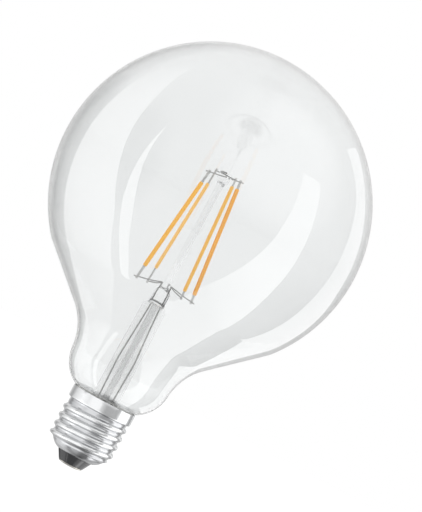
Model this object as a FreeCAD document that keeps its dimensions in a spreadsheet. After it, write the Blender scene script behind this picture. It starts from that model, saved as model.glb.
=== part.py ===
import FreeCAD, Part
import math
import os
import Sketcher

# Clear globe bulb with four light-giving strips and a rolled screw cap.
# Millimetres and degrees. +Z runs from the centre contact up to the top of the globe.
# The origin is on the outside of the centre contact, on the bulb's axis.

SIZES = {
    # glass globe, its neck and the wall of both
    "overall_length": 175.7,
    "globe_radius": 62.0,
    "glass_wall": 0.8,
    "cone_angle": 49.9,
    "waist_radius": 20.7,
    "waist_height": 40.9,
    "waist_tilt": 3.65,
    "shoulder_radius": 14.5,
    "neck_fillet": 1.6,
    "neck_radius": 11.0,
    "neck_end": 20.5,
    # inner stem: flare, tube, flattened seal, exhaust tube and pillar
    "stem_radius": 5.5,
    "stem_top_radius": 4.9,
    "stem_wall": 0.8,
    "flare_radius": 4.0,
    "stem_top": 70.9,
    "dome_radius": 3.2,
    "seal_width": 6.2,
    "seal_thickness": 3.2,
    "seal_corner": 1.1,
    "seal_top": 76.6,
    "stem_turn": 166.0,
    "exhaust_radius": 1.4,
    "exhaust_wall": 0.5,
    "exhaust_tip": 17.9,
    "vent_radius": 0.7,
    "vent_height": 72.6,
    "pillar_radius": 1.4,
    "button_radius": 2.6,
    "button_drop": 2.5,
    "button_height": 4.4,
    "button_corner": 1.2,
    "seal_clearance": 0.02,
    # wires
    "lead_radius": 0.3,
    "lead_spacing": 4.2,
    "lead_bow": 3.5,
    "lead_bow_height": 46.0,
    "lead_waist": 3.0,
    "lead_drop": 1.5,
    "lead_bend": 30.0,
    "lead_end": 14.5,
    "support_radius": 0.22,
    "support_peak": 78.7,
    "support_bridge": 2.4,
    "support_bend": 0.8,
    "support_knee": 7.4,
    "support_overhang": 1.3,
    "weld_clearance": 0.01,
    # light-giving strips
    "lower_circle": 13.5,
    "upper_circle": 7.4,
    "lower_weld_left": 76.3,
    "lower_weld_right": 77.1,
    "upper_weld": 125.4,
    "upper_wire_tilt": 8.8,
    "upper_wire_step": 0.75,
    "tab_reach_1": 4.82,
    "tab_reach_2": 5.76,
    "tab_reach_3": 2.61,
    "tab_reach_4": 2.81,
    "bead_width": 1.75,
    "bead_thickness": 0.95,
    "bead_corner": 0.4,
    "tab_width": 1.0,
    "tab_thickness": 0.3,
    "tab_overhang": 0.8,
    # screw shell
    "sheet": 0.3,
    "collar_radius": 13.2,
    "collar_top": 28.7,
    "thread_top": 23.4,
    "thread_bottom": 7.6,
    "thread_pitch": 3.629,
    "thread_root_radius": 12.05,
    "thread_crest_radius": 13.15,
    "thread_arc": 1.025,
    "thread_start": 8.88,
    "thread_run_out": 1.3,
    "cone_arc": 7.0,
    "cone_arc_height": 11.1,
    "shell_bottom": 4.5,
    "lip_radius": 6.8,
    # insulator, contact and cement
    "insulator_top_radius": 7.1,
    "insulator_bottom_radius": 5.0,
    "insulator_bottom": 0.9,
    "insulator_flange_radius": 8.0,
    "insulator_inner_top": 6.3,
    "fit_clearance": 0.05,
    "contact_radius": 4.85,
    "contact_flat_radius": 1.6,
    "contact_rim": 0.35,
    "contact_bore_bottom": 1.35,
    "shank_radius": 1.2,
    "rivet_radius": 1.9,
    "rivet_height": 0.3,
    "cement_bottom": 24.6,
    "cement_top": 26.9,
    "cement_clearance": 0.03,
    # driver parts inside the cap
    "board_width": 17.0,
    "board_bottom": 7.2,
    "board_top": 17.2,
    "board_thickness": 1.0,
    "solder_clearance": 0.02,
    "solder_overlap": 2.0,
    "solder_inset": 0.6,
    "capacitor_radius": 3.0,
    "capacitor_length": 6.4,
    "capacitor_bottom": 7.5,
    "capacitor_offset": 4.6,
    "resistor_radius": 1.3,
    "resistor_length": 6.0,
    "resistor_height": 10.0,
    "resistor_offset": 4.8,
    "rectifier_width": 4.8,
    "rectifier_height": 4.0,
    "rectifier_thickness": 1.7,
    "rectifier_offset": 4.2,
    "rectifier_middle": 12.6,
    "chip_width": 5.0,
    "chip_height": 4.0,
    "chip_thickness": 1.5,
    "chip_offset": 3.8,
    "chip_middle": 11.6,
    "shell_lead_radius": 0.25,
    "shell_lead_drop": 2.0,
    "shell_lead_bend": 2.0,
    "shell_lead_turn": 18.1,
}

LEFT, RIGHT = 1, -1
TINY = 1e-9
LONGEST_BEND_SHARE = 0.45
VOLUME_TOLERANCE = 0.01
STRIP_TURNS = (45, -45, -225, -135)
THREAD_SECTIONS_PER_TURN = 12
THREAD_LEAST_SHARE = 0.02
THREAD_ROOT_SINK = 0.25
OUTER_THREAD_SHARES = (-0.92, -0.72, -0.5, -0.25, 0.0, 0.25, 0.5, 0.72, 0.92)
INNER_THREAD_SHARES = (-0.88, -0.6, -0.25, 0.25, 0.6, 0.88)

doc = FreeCAD.newDocument("GlobeBulb")
sheet = doc.addObject("Spreadsheet::Sheet", "Sizes")
for row, (name, number) in enumerate(SIZES.items(), start=1):
    sheet.set("A%d" % row, name)
    sheet.set("B%d" % row, str(number))
    sheet.setAlias("B%d" % row, name)
doc.recompute()


class Size:
    """A number together with the sheet expression that gives it."""

    def __init__(self, value, text):
        self.value = value
        self.text = text

    def __add__(self, other):
        other = as_size(other)
        return Size(self.value + other.value, "(%s + %s)" % (self.text, other.text))

    def __sub__(self, other):
        other = as_size(other)
        return Size(self.value - other.value, "(%s - %s)" % (self.text, other.text))

    def __mul__(self, other):
        other = as_size(other)
        return Size(self.value * other.value, "(%s * %s)" % (self.text, other.text))

    def __truediv__(self, other):
        other = as_size(other)
        return Size(self.value / other.value, "(%s / %s)" % (self.text, other.text))

    def __neg__(self):
        return Size(-self.value, "(0 - %s)" % self.text)


def as_size(number):
    return number if isinstance(number, Size) else Size(number, repr(number))


def root(size):
    return Size(math.sqrt(size.value), "sqrt(%s)" % size.text)


def cosine(angle):
    return Size(math.cos(math.radians(angle.value)), "cos(%s)" % angle.text)


def sine(angle):
    return Size(math.sin(math.radians(angle.value)), "sin(%s)" % angle.text)


def size(name):
    return Size(float(sheet.get(name)), "Sizes.%s" % name)


def reversed_path(path):
    """The same corners walked backwards, with every bend turned over."""
    result = []
    for index in range(len(path) - 1, -1, -1):
        bend = path[index - 1][2] if index > 0 else None
        flipped = (bend[0], -bend[1]) if bend else None
        result.append((path[index][0], path[index][1], flipped))
    return result


def origin_plane(body, role):
    return [feature for feature in body.Origin.OriginFeatures if feature.Role == role][0]


def place_corner(sketch, geometry, end, x, y):
    """Hold one end of a stretch at its distances from the two sketch axes."""
    for kind, axis, distance in (("DistanceX", -2, x), ("DistanceY", -1, y)):
        if abs(distance.value) < TINY:
            sketch.addConstraint(Sketcher.Constraint("PointOnObject", geometry, end, axis))
            continue
        number = sketch.addConstraint(
            Sketcher.Constraint(kind, -1, 1, geometry, end, distance.value))
        sketch.setExpression("Constraints[%d]" % number, distance.text)


def arc_between(start, finish, radius, side):
    """Circle arc from start to finish with its centre on the given side of the way."""
    chord = finish - start
    to_left = FreeCAD.Vector(-chord.y, chord.x, 0).normalize()
    height = math.sqrt(max(radius ** 2 - (chord.Length / 2) ** 2, 0.0))
    centre = start + chord * 0.5 + to_left * (side * height)
    middle = centre + (start + chord * 0.5 - centre).normalize() * radius
    if height < TINY:
        middle = centre - to_left * (side * radius)
    return Part.Arc(start, middle, finish)


def draw_outline(sketch, corners):
    """Closed outline; a corner is (x, y, bend) and bend is None or (radius, side)."""
    points = [FreeCAD.Vector(x.value, y.value, 0) for x, y, bend in corners]
    ends = []
    for index, (x, y, bend) in enumerate(corners):
        start = points[index]
        finish = points[(index + 1) % len(points)]
        if bend is None:
            number = sketch.addGeometry(Part.LineSegment(start, finish), False)
            ends.append((number, 1, 2))
            continue
        radius, side = bend
        number = sketch.addGeometry(arc_between(start, finish, radius.value, side), False)
        ends.append((number, 1, 2) if side == LEFT else (number, 2, 1))
        limit = sketch.addConstraint(Sketcher.Constraint("Radius", number, radius.value))
        sketch.setExpression("Constraints[%d]" % limit, radius.text)
    for index, (x, y, bend) in enumerate(corners):
        number, first, last = ends[index]
        next_number, next_first, next_last = ends[(index + 1) % len(ends)]
        sketch.addConstraint(
            Sketcher.Constraint("Coincident", number, last, next_number, next_first))
        place_corner(sketch, number, first, x, y)


def new_sketch(body, name, role):
    sketch = body.newObject("Sketcher::SketchObject", name)
    sketch.AttachmentSupport = [(origin_plane(body, role), "")]
    sketch.MapMode = "FlatFace"
    return sketch


def new_body(label):
    body = doc.addObject("PartDesign::Body", label)
    body.Label = label
    return body


def add_turned(body, corners, name="section", angle=360):
    """Revolve an outline of (radius, height) corners about the body's Z axis."""
    sketch = new_sketch(body, name, "XZ_Plane")
    draw_outline(sketch, corners)
    turned = body.newObject("PartDesign::Revolution", name + "_turned")
    turned.Profile = sketch
    turned.ReferenceAxis = (sketch, ["V_Axis"])
    turned.Angle = angle
    return turned


def add_pad(body, corners, base, length, name="plan"):
    """Raise an outline drawn in plan from one height by one length."""
    sketch = new_sketch(body, name, "XY_Plane")
    sketch.AttachmentOffset = FreeCAD.Placement(
        FreeCAD.Vector(0, 0, base.value), FreeCAD.Rotation())
    sketch.setExpression("AttachmentOffset.Base.z", base.text)
    draw_outline(sketch, corners)
    pad = body.newObject("PartDesign::Pad", name + "_raised")
    pad.Profile = sketch
    pad.setExpression("Length", length.text)
    return pad


def rectangle(width, depth, corner=None):
    """Centred rectangle in plan, with round corners where a corner radius is given."""
    x, y = width / 2, depth / 2
    if corner is None:
        return [(-x, -y, None), (x, -y, None), (x, y, None), (-x, y, None)]
    bend = (corner, LEFT)
    return [
        (-x + corner, -y, None), (x - corner, -y, bend), (x, -y + corner, None),
        (x, y - corner, bend), (x - corner, y, None), (-x + corner, y, bend),
        (-x, y - corner, None), (-x, -y + corner, bend)]


def add_round_pocket(body, name, role, centre, radius, depth, level, backwards=False):
    """Round hole into a body from a plane that lies one level off an origin plane."""
    sketch = new_sketch(body, name, role)
    sketch.AttachmentOffset = FreeCAD.Placement(
        FreeCAD.Vector(0, 0, level.value), FreeCAD.Rotation())
    sketch.setExpression("AttachmentOffset.Base.z", level.text)
    x, y = centre
    circle = Part.Circle(
        FreeCAD.Vector(x.value, y.value, 0), FreeCAD.Vector(0, 0, 1), radius.value)
    number = sketch.addGeometry(circle, False)
    place_corner(sketch, number, 3, x, y)
    limit = sketch.addConstraint(Sketcher.Constraint("Radius", number, radius.value))
    sketch.setExpression("Constraints[%d]" % limit, radius.text)
    pocket = body.newObject("PartDesign::Pocket", name + "_cut")
    pocket.Profile = sketch
    pocket.Reversed = backwards
    pocket.setExpression("Length", depth.text)
    return pocket


def turn_about_axis(item, angle):
    turn = FreeCAD.Rotation(FreeCAD.Vector(0, 0, 1), angle.value)
    item.Placement = FreeCAD.Placement(FreeCAD.Vector(), turn)
    item.setExpression("Placement.Rotation.Angle", angle.text)


def path_of(points, bend_radius):
    """Straight runs joined by tangent arcs, as one wire."""
    edges = []
    start = points[0]
    for before, corner, after in zip(points, points[1:], points[2:]):
        into = (before - corner).normalize()
        out = (after - corner).normalize()
        half = into.getAngle(out) / 2
        reach = min(bend_radius / math.tan(half),
                    LONGEST_BEND_SHARE * (before - corner).Length,
                    LONGEST_BEND_SHARE * (after - corner).Length)
        radius = reach * math.tan(half)
        centre = corner + (into + out).normalize() * (radius / math.sin(half))
        middle = centre + (corner - centre).normalize() * radius
        bend_start = corner + into * reach
        bend_finish = corner + out * reach
        edges.append(Part.LineSegment(start, bend_start).toShape())
        edges.append(Part.Arc(bend_start, middle, bend_finish).toShape())
        start = bend_finish
    edges.append(Part.LineSegment(start, points[-1]).toShape())
    return Part.Wire(edges)


def swept_wire(label, points, radius, bend_radius):
    """Round wire along a path; its volume has to be its section times its length."""
    path = path_of(points, bend_radius)
    direction = points[1] - points[0]
    section = Part.Wire(Part.Circle(points[0], direction, radius).toShape())
    solid = path.makePipeShell([section], True, False)
    expected = math.pi * radius ** 2 * path.Length
    if abs(solid.Volume - expected) > VOLUME_TOLERANCE * expected:
        raise ValueError("%s has volume %.3f, not %.3f" % (label, solid.Volume, expected))
    item = doc.addObject("Part::Feature", label)
    item.Label = label
    item.Shape = solid
    return item


def polar(radius, azimuth, height):
    angle = math.radians(azimuth)
    return FreeCAD.Vector(radius * math.cos(angle), radius * math.sin(angle), height)


def glass_path(inset):
    """Half outline of the glass, from the top of the globe down to the end of the neck."""
    globe, tilt, cone = size("globe_radius"), size("waist_tilt"), size("cone_angle")
    middle = size("overall_length") - globe
    waist, waist_height = size("waist_radius"), size("waist_height")
    shoulder, fillet, neck = size("shoulder_radius"), size("neck_fillet"), size("neck_radius")
    across, along = cosine(cone), sine(cone)
    hollow = ((waist * across + (middle - waist_height) * along - globe)
              / (Size(1, "1") - cosine(cone - tilt)))
    hollow_x = waist + hollow * cosine(tilt)
    hollow_z = waist_height - hollow * sine(tilt)
    shoulder_x = waist - shoulder * cosine(tilt)
    shoulder_z = waist_height + shoulder * sine(tilt)
    reach = shoulder + fillet
    fillet_x = neck + fillet
    drop = root(reach * reach - (fillet_x - shoulder_x) * (fillet_x - shoulder_x))
    share = (shoulder - inset) / reach
    return [
        (Size(0, "0"), middle + globe - inset, (globe - inset, RIGHT)),
        ((globe - inset) * across, middle - (globe - inset) * along, None),
        (hollow_x - (hollow + inset) * across, hollow_z + (hollow + inset) * along,
         (hollow + inset, LEFT)),
        (waist - inset * cosine(tilt), waist_height + inset * sine(tilt),
         (shoulder - inset, RIGHT)),
        (shoulder_x + (fillet_x - shoulder_x) * share, shoulder_z - drop * share,
         (fillet + inset, LEFT)),
        (neck - inset, shoulder_z - drop, None),
        (neck - inset, size("neck_end"), None)]


def build_globe():
    body = new_body("globe_envelope")
    outside = glass_path(Size(0, "0"))
    inside = glass_path(size("glass_wall"))
    add_turned(body, outside + reversed_path(inside))
    return body


def stem_path(inset):
    """Half outline of the stem glass, from the flare's rim up to the closed top."""
    foot, top = size("stem_radius"), size("stem_top_radius")
    flare, dome = size("flare_radius"), size("dome_radius")
    level = size("neck_end") - inset
    return [
        (size("neck_radius"), level, None),
        (foot + flare, level, (flare + inset, RIGHT)),
        (foot - inset, size("neck_end") + flare, None),
        (top - inset, size("stem_top") - dome, (dome - inset, LEFT)),
        (top - dome, size("stem_top") - inset, None),
        (Size(0, "0"), size("stem_top") - inset, None)]


def build_stem():
    body = new_body("stem_tube")
    outside = stem_path(Size(0, "0"))
    inside = stem_path(size("stem_wall"))
    add_turned(body, outside + reversed_path(inside))
    foot = size("stem_top") - size("stem_wall")
    add_pad(body, rectangle(size("seal_width"), size("seal_thickness"), size("seal_corner")),
            foot, size("seal_top") - foot, "seal")
    for side, name in ((-1, "left"), (1, "right")):
        add_round_pocket(
            body, "lead_hole_" + name, "XY_Plane",
            (size("lead_spacing") / (2 * side), Size(0, "0")),
            size("lead_radius") + size("seal_clearance"),
            size("seal_top") - size("stem_top") + size("dome_radius"), size("seal_top"))
    add_round_pocket(
        body, "vent_up", "XY_Plane", (Size(0, "0"), Size(0, "0")), size("vent_radius"),
        size("vent_height") - foot, size("vent_height"))
    add_round_pocket(
        body, "vent_out", "XZ_Plane",
        (Size(0, "0"), size("vent_height") - size("vent_radius")),
        size("vent_radius"), size("seal_thickness"), Size(0, "0"), True)
    turn_about_axis(body, size("stem_turn"))
    return body


def build_exhaust():
    body = new_body("exhaust_tube")
    radius, wall = size("exhaust_radius"), size("exhaust_wall")
    tip = size("exhaust_tip")
    top = size("stem_top") - size("stem_wall")
    bore = radius - wall
    add_turned(body, [
        (Size(0, "0"), tip, (radius, LEFT)),
        (radius, tip + radius, None),
        (radius, top, None),
        (bore, top, None),
        (bore, tip + radius, (bore, RIGHT)),
        (Size(0, "0"), tip + wall, None)])
    return body


def build_pillar():
    body = new_body("pillar_turned")
    rod, button, corner = size("pillar_radius"), size("button_radius"), size("button_corner")
    low = size("upper_weld") - size("button_drop")
    high = low + size("button_height")
    add_turned(body, [
        (Size(0, "0"), size("seal_top"), None),
        (rod, size("seal_top"), None),
        (rod, low, None),
        (button - corner, low, (corner, LEFT)),
        (button, low + corner, None),
        (button, high - corner, (corner, LEFT)),
        (button - corner, high, None),
        (Size(0, "0"), high, None)])
    radius = size("support_radius") + size("seal_clearance")
    half_length = size("button_radius") * 2
    for label, azimuth, level, tilt in upper_wires():
        hole = doc.addObject("Part::Cylinder", label + "_hole")
        hole.setExpression("Radius", radius.text)
        hole.setExpression("Height", (half_length * 2).text)
        lay_across(hole, azimuth, level, tilt, half_length)
        cut = doc.addObject("Part::Cut", "pillar_cut_" + label)
        cut.Base = body
        cut.Tool = hole
        body = cut
    body.Label = "glass_pillar"
    return body


def upper_wires():
    """Label, azimuth, height and tilt of the two wires through the button."""
    azimuths = strip_azimuths()
    step = size("upper_wire_step")
    return [
        ("upper_support_outer", azimuths[3], size("upper_weld"), size("upper_wire_tilt")),
        ("upper_support_inner", azimuths[2], size("upper_weld") + step, Size(0, "0"))]


def strip_azimuths():
    """Directions of strips 1 to 4: left front, left back, right front, right back."""
    centre = size("stem_turn").value
    return [centre + turn for turn in STRIP_TURNS]


def lay_across(item, azimuth, level, tilt, half_length):
    """Lay an upright primitive across the axis so that its middle is on the axis."""
    direction = polar(math.cos(math.radians(tilt.value)), azimuth,
                      math.sin(math.radians(tilt.value)))
    rotation = FreeCAD.Rotation(FreeCAD.Vector(0, 0, 1), direction)
    base = FreeCAD.Vector(0, 0, level.value) - direction * half_length.value
    item.Placement = FreeCAD.Placement(base, rotation)


def build_upper_supports():
    wires = []
    for label, azimuth, level, tilt in upper_wires():
        wire = doc.addObject("Part::Cylinder", label)
        wire.Label = label
        half_length = (size("upper_circle") + size("support_overhang")) / cosine(tilt)
        wire.setExpression("Radius", size("support_radius").text)
        wire.setExpression("Height", (half_length * 2).text)
        lay_across(wire, azimuth, level, tilt, half_length)
        wires.append(wire)
    return wires


def build_lower_supports():
    """Bent wires that join the foot of two strips over the end of one lead wire."""
    wires = []
    azimuths = strip_azimuths()
    peak, lead = size("support_peak").value, size("lead_spacing").value / 2
    reach = size("lower_circle").value + size("support_overhang").value
    for side, pair in (("left", azimuths[:2]), ("right", (azimuths[3], azimuths[2]))):
        weld = size("lower_weld_" + side).value
        slope = (peak - weld) / size("lower_circle").value
        knee = size("support_knee").value
        middle = size("stem_turn").value + (0 if side == "left" else 180)
        centre = polar(lead, middle, peak)
        along = polar(size("support_bridge").value / 2, middle + 90, 0)
        outer = [polar(reach, azimuth, weld - slope * size("support_overhang").value)
                 for azimuth in pair]
        inner = [polar(knee, azimuth, weld + slope * (size("lower_circle").value - knee))
                 for azimuth in pair]
        points = [outer[0], inner[0], centre + along, centre - along, inner[1], outer[1]]
        wires.append(swept_wire("lower_support_" + side, points,
                                size("support_radius").value, size("support_bend").value))
    return wires


def build_leads():
    """Lead wires from the supports down through the seal and the stem to the board."""
    wires = []
    half = size("lead_spacing").value / 2
    bow, radius = size("lead_bow").value, size("lead_radius").value
    top = (size("support_peak").value - size("support_radius").value
           - size("weld_clearance").value)
    seal = size("stem_top").value - size("dome_radius").value
    foot = size("neck_end").value
    for side, azimuth in (("left", size("stem_turn").value),
                          ("right", size("stem_turn").value + 180)):
        heights = (
            (half, top), (half, seal), (bow, size("lead_bow_height").value),
            (size("lead_waist").value,
             foot + size("flare_radius").value + size("stem_radius").value),
            (bow, foot - size("lead_drop").value), (bow, size("lead_end").value))
        points = [polar(out, azimuth, height) for out, height in heights]
        wires.append(swept_wire("lead_wire_" + side, points, radius,
                                size("lead_bend").value))
    return wires


def strip_welds(index):
    """Lower and upper weld points of one strip, both on its own radial plane."""
    azimuth = strip_azimuths()[index]
    side = "left" if index < 2 else "right"
    tilt = math.tan(math.radians(size("upper_wire_tilt").value))
    step = size("upper_wire_step").value
    rise = (-size("upper_circle").value * tilt, step, step,
            size("upper_circle").value * tilt)[index]
    lower = polar(size("lower_circle").value, azimuth, size("lower_weld_" + side).value)
    upper = polar(size("upper_circle").value, azimuth, size("upper_weld").value + rise)
    return lower, upper


def build_strips():
    """Four strips, each a coated bead between two flat tabs that lie on the wires."""
    items = []
    overhang = size("tab_overhang")
    for index, azimuth in enumerate(strip_azimuths()):
        lower, upper = strip_welds(index)
        along = (upper - lower).normalize()
        across = polar(1, azimuth + 90, 0)
        outward = across.cross(along)
        rotation = FreeCAD.Rotation(outward, across, along, "ZXY")
        offset = (size("tab_thickness").value / 2 + size("support_radius").value
                  + size("weld_clearance").value)
        base = lower + across * offset
        length = (upper - lower).Length
        reach = size("tab_reach_%d" % (index + 1))
        bead_length = Size(length, repr(length)) - reach * 2
        bead = new_body("filament_%d_bead" % (index + 1))
        add_pad(bead, rectangle(size("bead_width"), size("bead_thickness"),
                                size("bead_corner")), Size(0, "0"), bead_length)
        bead.Placement = FreeCAD.Placement(base + along * reach.value, rotation)
        items.append(bead)
        tab_length = reach + overhang
        for end, distance in (("lower", -overhang.value), ("upper", length - reach.value)):
            tab = new_body("filament_%d_%s_tab" % (index + 1, end))
            add_pad(tab, rectangle(size("tab_width"), size("tab_thickness")),
                    Size(0, "0"), tab_length)
            tab.Placement = FreeCAD.Placement(base + along * distance, rotation)
            items.append(tab)
    return items


def thread_crest(azimuth):
    """Height of the crest at an azimuth that counts on from turn to turn."""
    return size("thread_start").value + size("thread_pitch").value * (azimuth / 360 - 0.5)


def thread_form(distance, inset):
    """Height share of the rolled form at a distance from its crest: 1 there, 0 in the root."""
    pitch, arc = size("thread_pitch").value, size("thread_arc").value
    depth = size("thread_crest_radius").value - size("thread_root_radius").value
    slope = math.asin(min(pitch / (4 * arc), 1.0))
    crest_arc, root_arc = arc - inset, arc + inset
    distance = abs(distance)
    if distance <= crest_arc * math.sin(slope):
        return 1.0 - (crest_arc - math.sqrt(crest_arc ** 2 - distance ** 2)) / depth
    away = max(pitch / 2 - distance, 0.0)
    return (root_arc - math.sqrt(max(root_arc ** 2 - away ** 2, 0.0))) / depth


def plain_radius(height, inset):
    """Radius of the shell without its thread, from the cone up to the root cylinder."""
    arc = size("cone_arc").value - inset
    below = max(size("cone_arc_height").value - height, 0.0)
    axis = size("thread_root_radius").value - size("cone_arc").value
    return axis + math.sqrt(arc ** 2 - below ** 2)


def smooth_share(value):
    value = min(max(value, 0.0), 1.0)
    return value * value * (3 - 2 * value)


def thread_solid(label, inset, shares):
    """Helical ridge that rises out of the plain shell and fades at both ends."""
    low, high = size("thread_bottom").value, size("thread_top").value
    run_out = size("thread_run_out").value
    pitch, start = size("thread_pitch").value, size("thread_start").value
    half = pitch / 2
    first = 360 * ((low - start) / pitch + 0.5)
    last = 360 * ((high - half - start) / pitch + 0.5)
    count = int(math.ceil((last - first) / 360 * THREAD_SECTIONS_PER_TURN))
    wires = []
    for index in range(count + 1):
        azimuth = first + (last - first) * index / count
        crest = thread_crest(azimuth)
        fade = min(smooth_share((crest - low) / run_out),
                   smooth_share((high - half - crest) / run_out))
        fade = max(fade, THREAD_LEAST_SHARE)
        corners = []
        for share in shares:
            height = crest + share * half
            plain = plain_radius(height, inset)
            rise = size("thread_crest_radius").value - inset - plain
            corners.append((plain + thread_form(share * half, inset) * fade * rise, height))
        for share in (shares[-1], shares[0]):
            height = crest + share * half
            corners.append((plain_radius(height, inset) - THREAD_ROOT_SINK, height))
        points = [polar(radius, azimuth, height) for radius, height in corners]
        wires.append(Part.makePolygon(points + points[:1]))
    item = doc.addObject("Part::Feature", label)
    item.Shape = Part.makeLoft(wires, True, False)
    return item


def build_shell():
    """Screw shell of one sheet: plain collar, step, rolled thread, rounded cone and lip."""
    sheet_wall, collar, plain = size("sheet"), size("collar_radius"), size("thread_root_radius")
    cone, level = size("cone_arc"), size("cone_arc_height")
    low, top = size("shell_bottom"), size("thread_top")
    half_step = (collar - plain) / 2
    middle = plain + half_step
    axis = plain - cone
    outer_foot = axis + root(cone * cone - (level - low) * (level - low))
    inner_cone = cone - sheet_wall
    inner_low = low + sheet_wall
    inner_foot = axis + root(inner_cone * inner_cone
                             - (level - inner_low) * (level - inner_low))
    base = new_body("shell_turned")
    add_turned(base, [
        (collar, size("collar_top"), None),
        (collar, top + half_step * 2, (half_step, RIGHT)),
        (middle, top + half_step, (half_step, LEFT)),
        (plain, top, None),
        (plain, level, (cone, RIGHT)),
        (outer_foot, low, None),
        (size("lip_radius"), low, None),
        (size("lip_radius"), inner_low, None),
        (inner_foot, inner_low, (inner_cone, LEFT)),
        (plain - sheet_wall, level, None),
        (plain - sheet_wall, top, (half_step + sheet_wall, RIGHT)),
        (middle, top + half_step + sheet_wall, (half_step - sheet_wall, LEFT)),
        (collar - sheet_wall, top + half_step * 2, None),
        (collar - sheet_wall, size("collar_top"), None)])
    ridge = thread_solid("thread_ridge", 0.0, OUTER_THREAD_SHARES)
    groove = thread_solid("thread_groove", sheet_wall.value, INNER_THREAD_SHARES)
    fused = doc.addObject("Part::Fuse", "shell_with_ridge")
    fused.Base = base
    fused.Tool = ridge
    shell = doc.addObject("Part::Cut", "screw_shell")
    shell.Base = fused
    shell.Tool = groove
    shell.Label = "screw_shell"
    return shell


def build_insulator():
    body = new_body("insulator")
    bore = size("shank_radius") + size("fit_clearance")
    low, lip = size("insulator_bottom"), size("shell_bottom")
    plug = size("lip_radius") - size("fit_clearance")
    lip_top = lip + size("sheet")
    flange = size("insulator_flange_radius")
    seat = size("insulator_top_radius") + size("fit_clearance")
    add_turned(body, [
        (bore, low, None),
        (size("insulator_bottom_radius"), low, None),
        (size("insulator_top_radius"), lip, None),
        (plug, lip, None),
        (plug, lip_top, None),
        (seat, lip_top, None),
        (flange, lip_top + (flange - seat), None),
        (flange, size("insulator_inner_top"), None),
        (bore, size("insulator_inner_top"), None)])
    return body


def build_contact():
    """Centre contact: slightly domed disc with a hollow shank clinched over the insulator."""
    body = new_body("centre_contact")
    disc, shank, rivet = size("contact_radius"), size("shank_radius"), size("rivet_radius")
    flat, rim, top = size("contact_flat_radius"), size("contact_rim"), size("insulator_bottom")
    bore = size("lead_radius") + size("solder_clearance")
    clinch = size("insulator_inner_top")
    edge = top - rim
    reach = disc - flat
    dome = (reach * reach + edge * edge) / (edge * 2)
    add_turned(body, [
        (Size(0, "0"), Size(0, "0"), None),
        (flat, Size(0, "0"), (dome, LEFT)),
        (disc, edge, None),
        (disc, top, None),
        (shank, top, None),
        (shank, clinch, None),
        (rivet, clinch, None),
        (rivet, clinch + size("rivet_height"), None),
        (bore, clinch + size("rivet_height"), None),
        (bore, size("contact_bore_bottom"), None),
        (Size(0, "0"), size("contact_bore_bottom"), None)])
    return body


def build_cement():
    body = new_body("capping_cement")
    gap = size("cement_clearance")
    inside = size("neck_radius") + gap
    outside = size("collar_radius") - size("sheet") - gap
    low, high = size("cement_bottom"), size("cement_top")
    add_turned(body, [(inside, low, None), (outside, low, None),
                      (outside, high, None), (inside, high, None)])
    return body


def in_stem_frame(item, x, y, z, rotation=None):
    """Place an item in the frame that is turned with the stem and the board."""
    turn = FreeCAD.Rotation(FreeCAD.Vector(0, 0, 1), size("stem_turn").value)
    local = FreeCAD.Placement(FreeCAD.Vector(x, y, z), rotation or FreeCAD.Rotation())
    item.Placement = FreeCAD.Placement(FreeCAD.Vector(), turn).multiply(local)


def add_block(label, width, depth, height):
    block = doc.addObject("Part::Box", label)
    block.Label = label
    block.setExpression("Length", width.text)
    block.setExpression("Width", depth.text)
    block.setExpression("Height", height.text)
    return block


def board_face():
    """Distance of the board's near face from the plane of the lead wires."""
    return (size("lead_radius") + size("solder_clearance")).value


def build_board():
    """Driver board on edge in the cap, with the parts that it carries on both faces."""
    gap = size("solder_clearance").value
    near = board_face()
    far = near + size("board_thickness").value
    width = size("board_width")
    board = add_block("driver_board", width, size("board_thickness"),
                      size("board_top") - size("board_bottom"))
    in_stem_frame(board, -width.value / 2, near, size("board_bottom").value)
    items = [board]
    for label, name, direction in (("bridge_rectifier", "rectifier", -1),
                                   ("driver_chip", "chip", 1)):
        wide, tall = size(name + "_width"), size(name + "_height")
        block = add_block(label, wide, size(name + "_thickness"), tall)
        in_stem_frame(block, direction * size(name + "_offset").value - wide.value / 2,
                      far + gap, size(name + "_middle").value - tall.value / 2)
        items.append(block)
    for label, name in (("smoothing_capacitor", "capacitor"), ("surge_resistor", "resistor")):
        drum = doc.addObject("Part::Cylinder", label)
        drum.Label = label
        drum.setExpression("Radius", size(name + "_radius").text)
        drum.setExpression("Height", size(name + "_length").text)
        items.append(drum)
    in_stem_frame(items[3], size("capacitor_offset").value,
                  near - gap - size("capacitor_radius").value, size("capacitor_bottom").value)
    in_stem_frame(items[4],
                  -size("resistor_offset").value - size("resistor_length").value / 2,
                  near - gap - size("resistor_radius").value, size("resistor_height").value,
                  FreeCAD.Rotation(FreeCAD.Vector(0, 1, 0), 90))
    return items


def build_cap_leads():
    """Wires from the board to the centre contact and up beside the neck to the shell."""
    contact_lead = doc.addObject("Part::Cylinder", "contact_lead")
    contact_lead.Label = "contact_lead"
    low = size("contact_bore_bottom") + size("solder_clearance")
    overlap = size("board_bottom") + size("solder_overlap")
    contact_lead.setExpression("Radius", size("lead_radius").text)
    contact_lead.setExpression("Height", (overlap - low).text)
    contact_lead.setExpression("Placement.Base.z", low.text)
    radius = size("shell_lead_radius").value
    turn = size("stem_turn").value + 180
    between = (size("thread_root_radius").value - size("sheet").value
               + size("neck_radius").value) / 2
    edge = size("board_width").value / 2 - size("solder_inset").value
    top = size("board_top").value
    end = size("cement_bottom").value - size("weld_clearance").value
    knee = top - size("shell_lead_drop").value
    heights = ((edge, knee - size("solder_overlap").value), (edge, knee),
               (between, size("shell_lead_turn").value), (between, end))
    points = [polar(out, turn, height) for out, height in heights]
    shell_lead = swept_wire("shell_lead", points, radius, size("shell_lead_bend").value)
    return [contact_lead, shell_lead]


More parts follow.
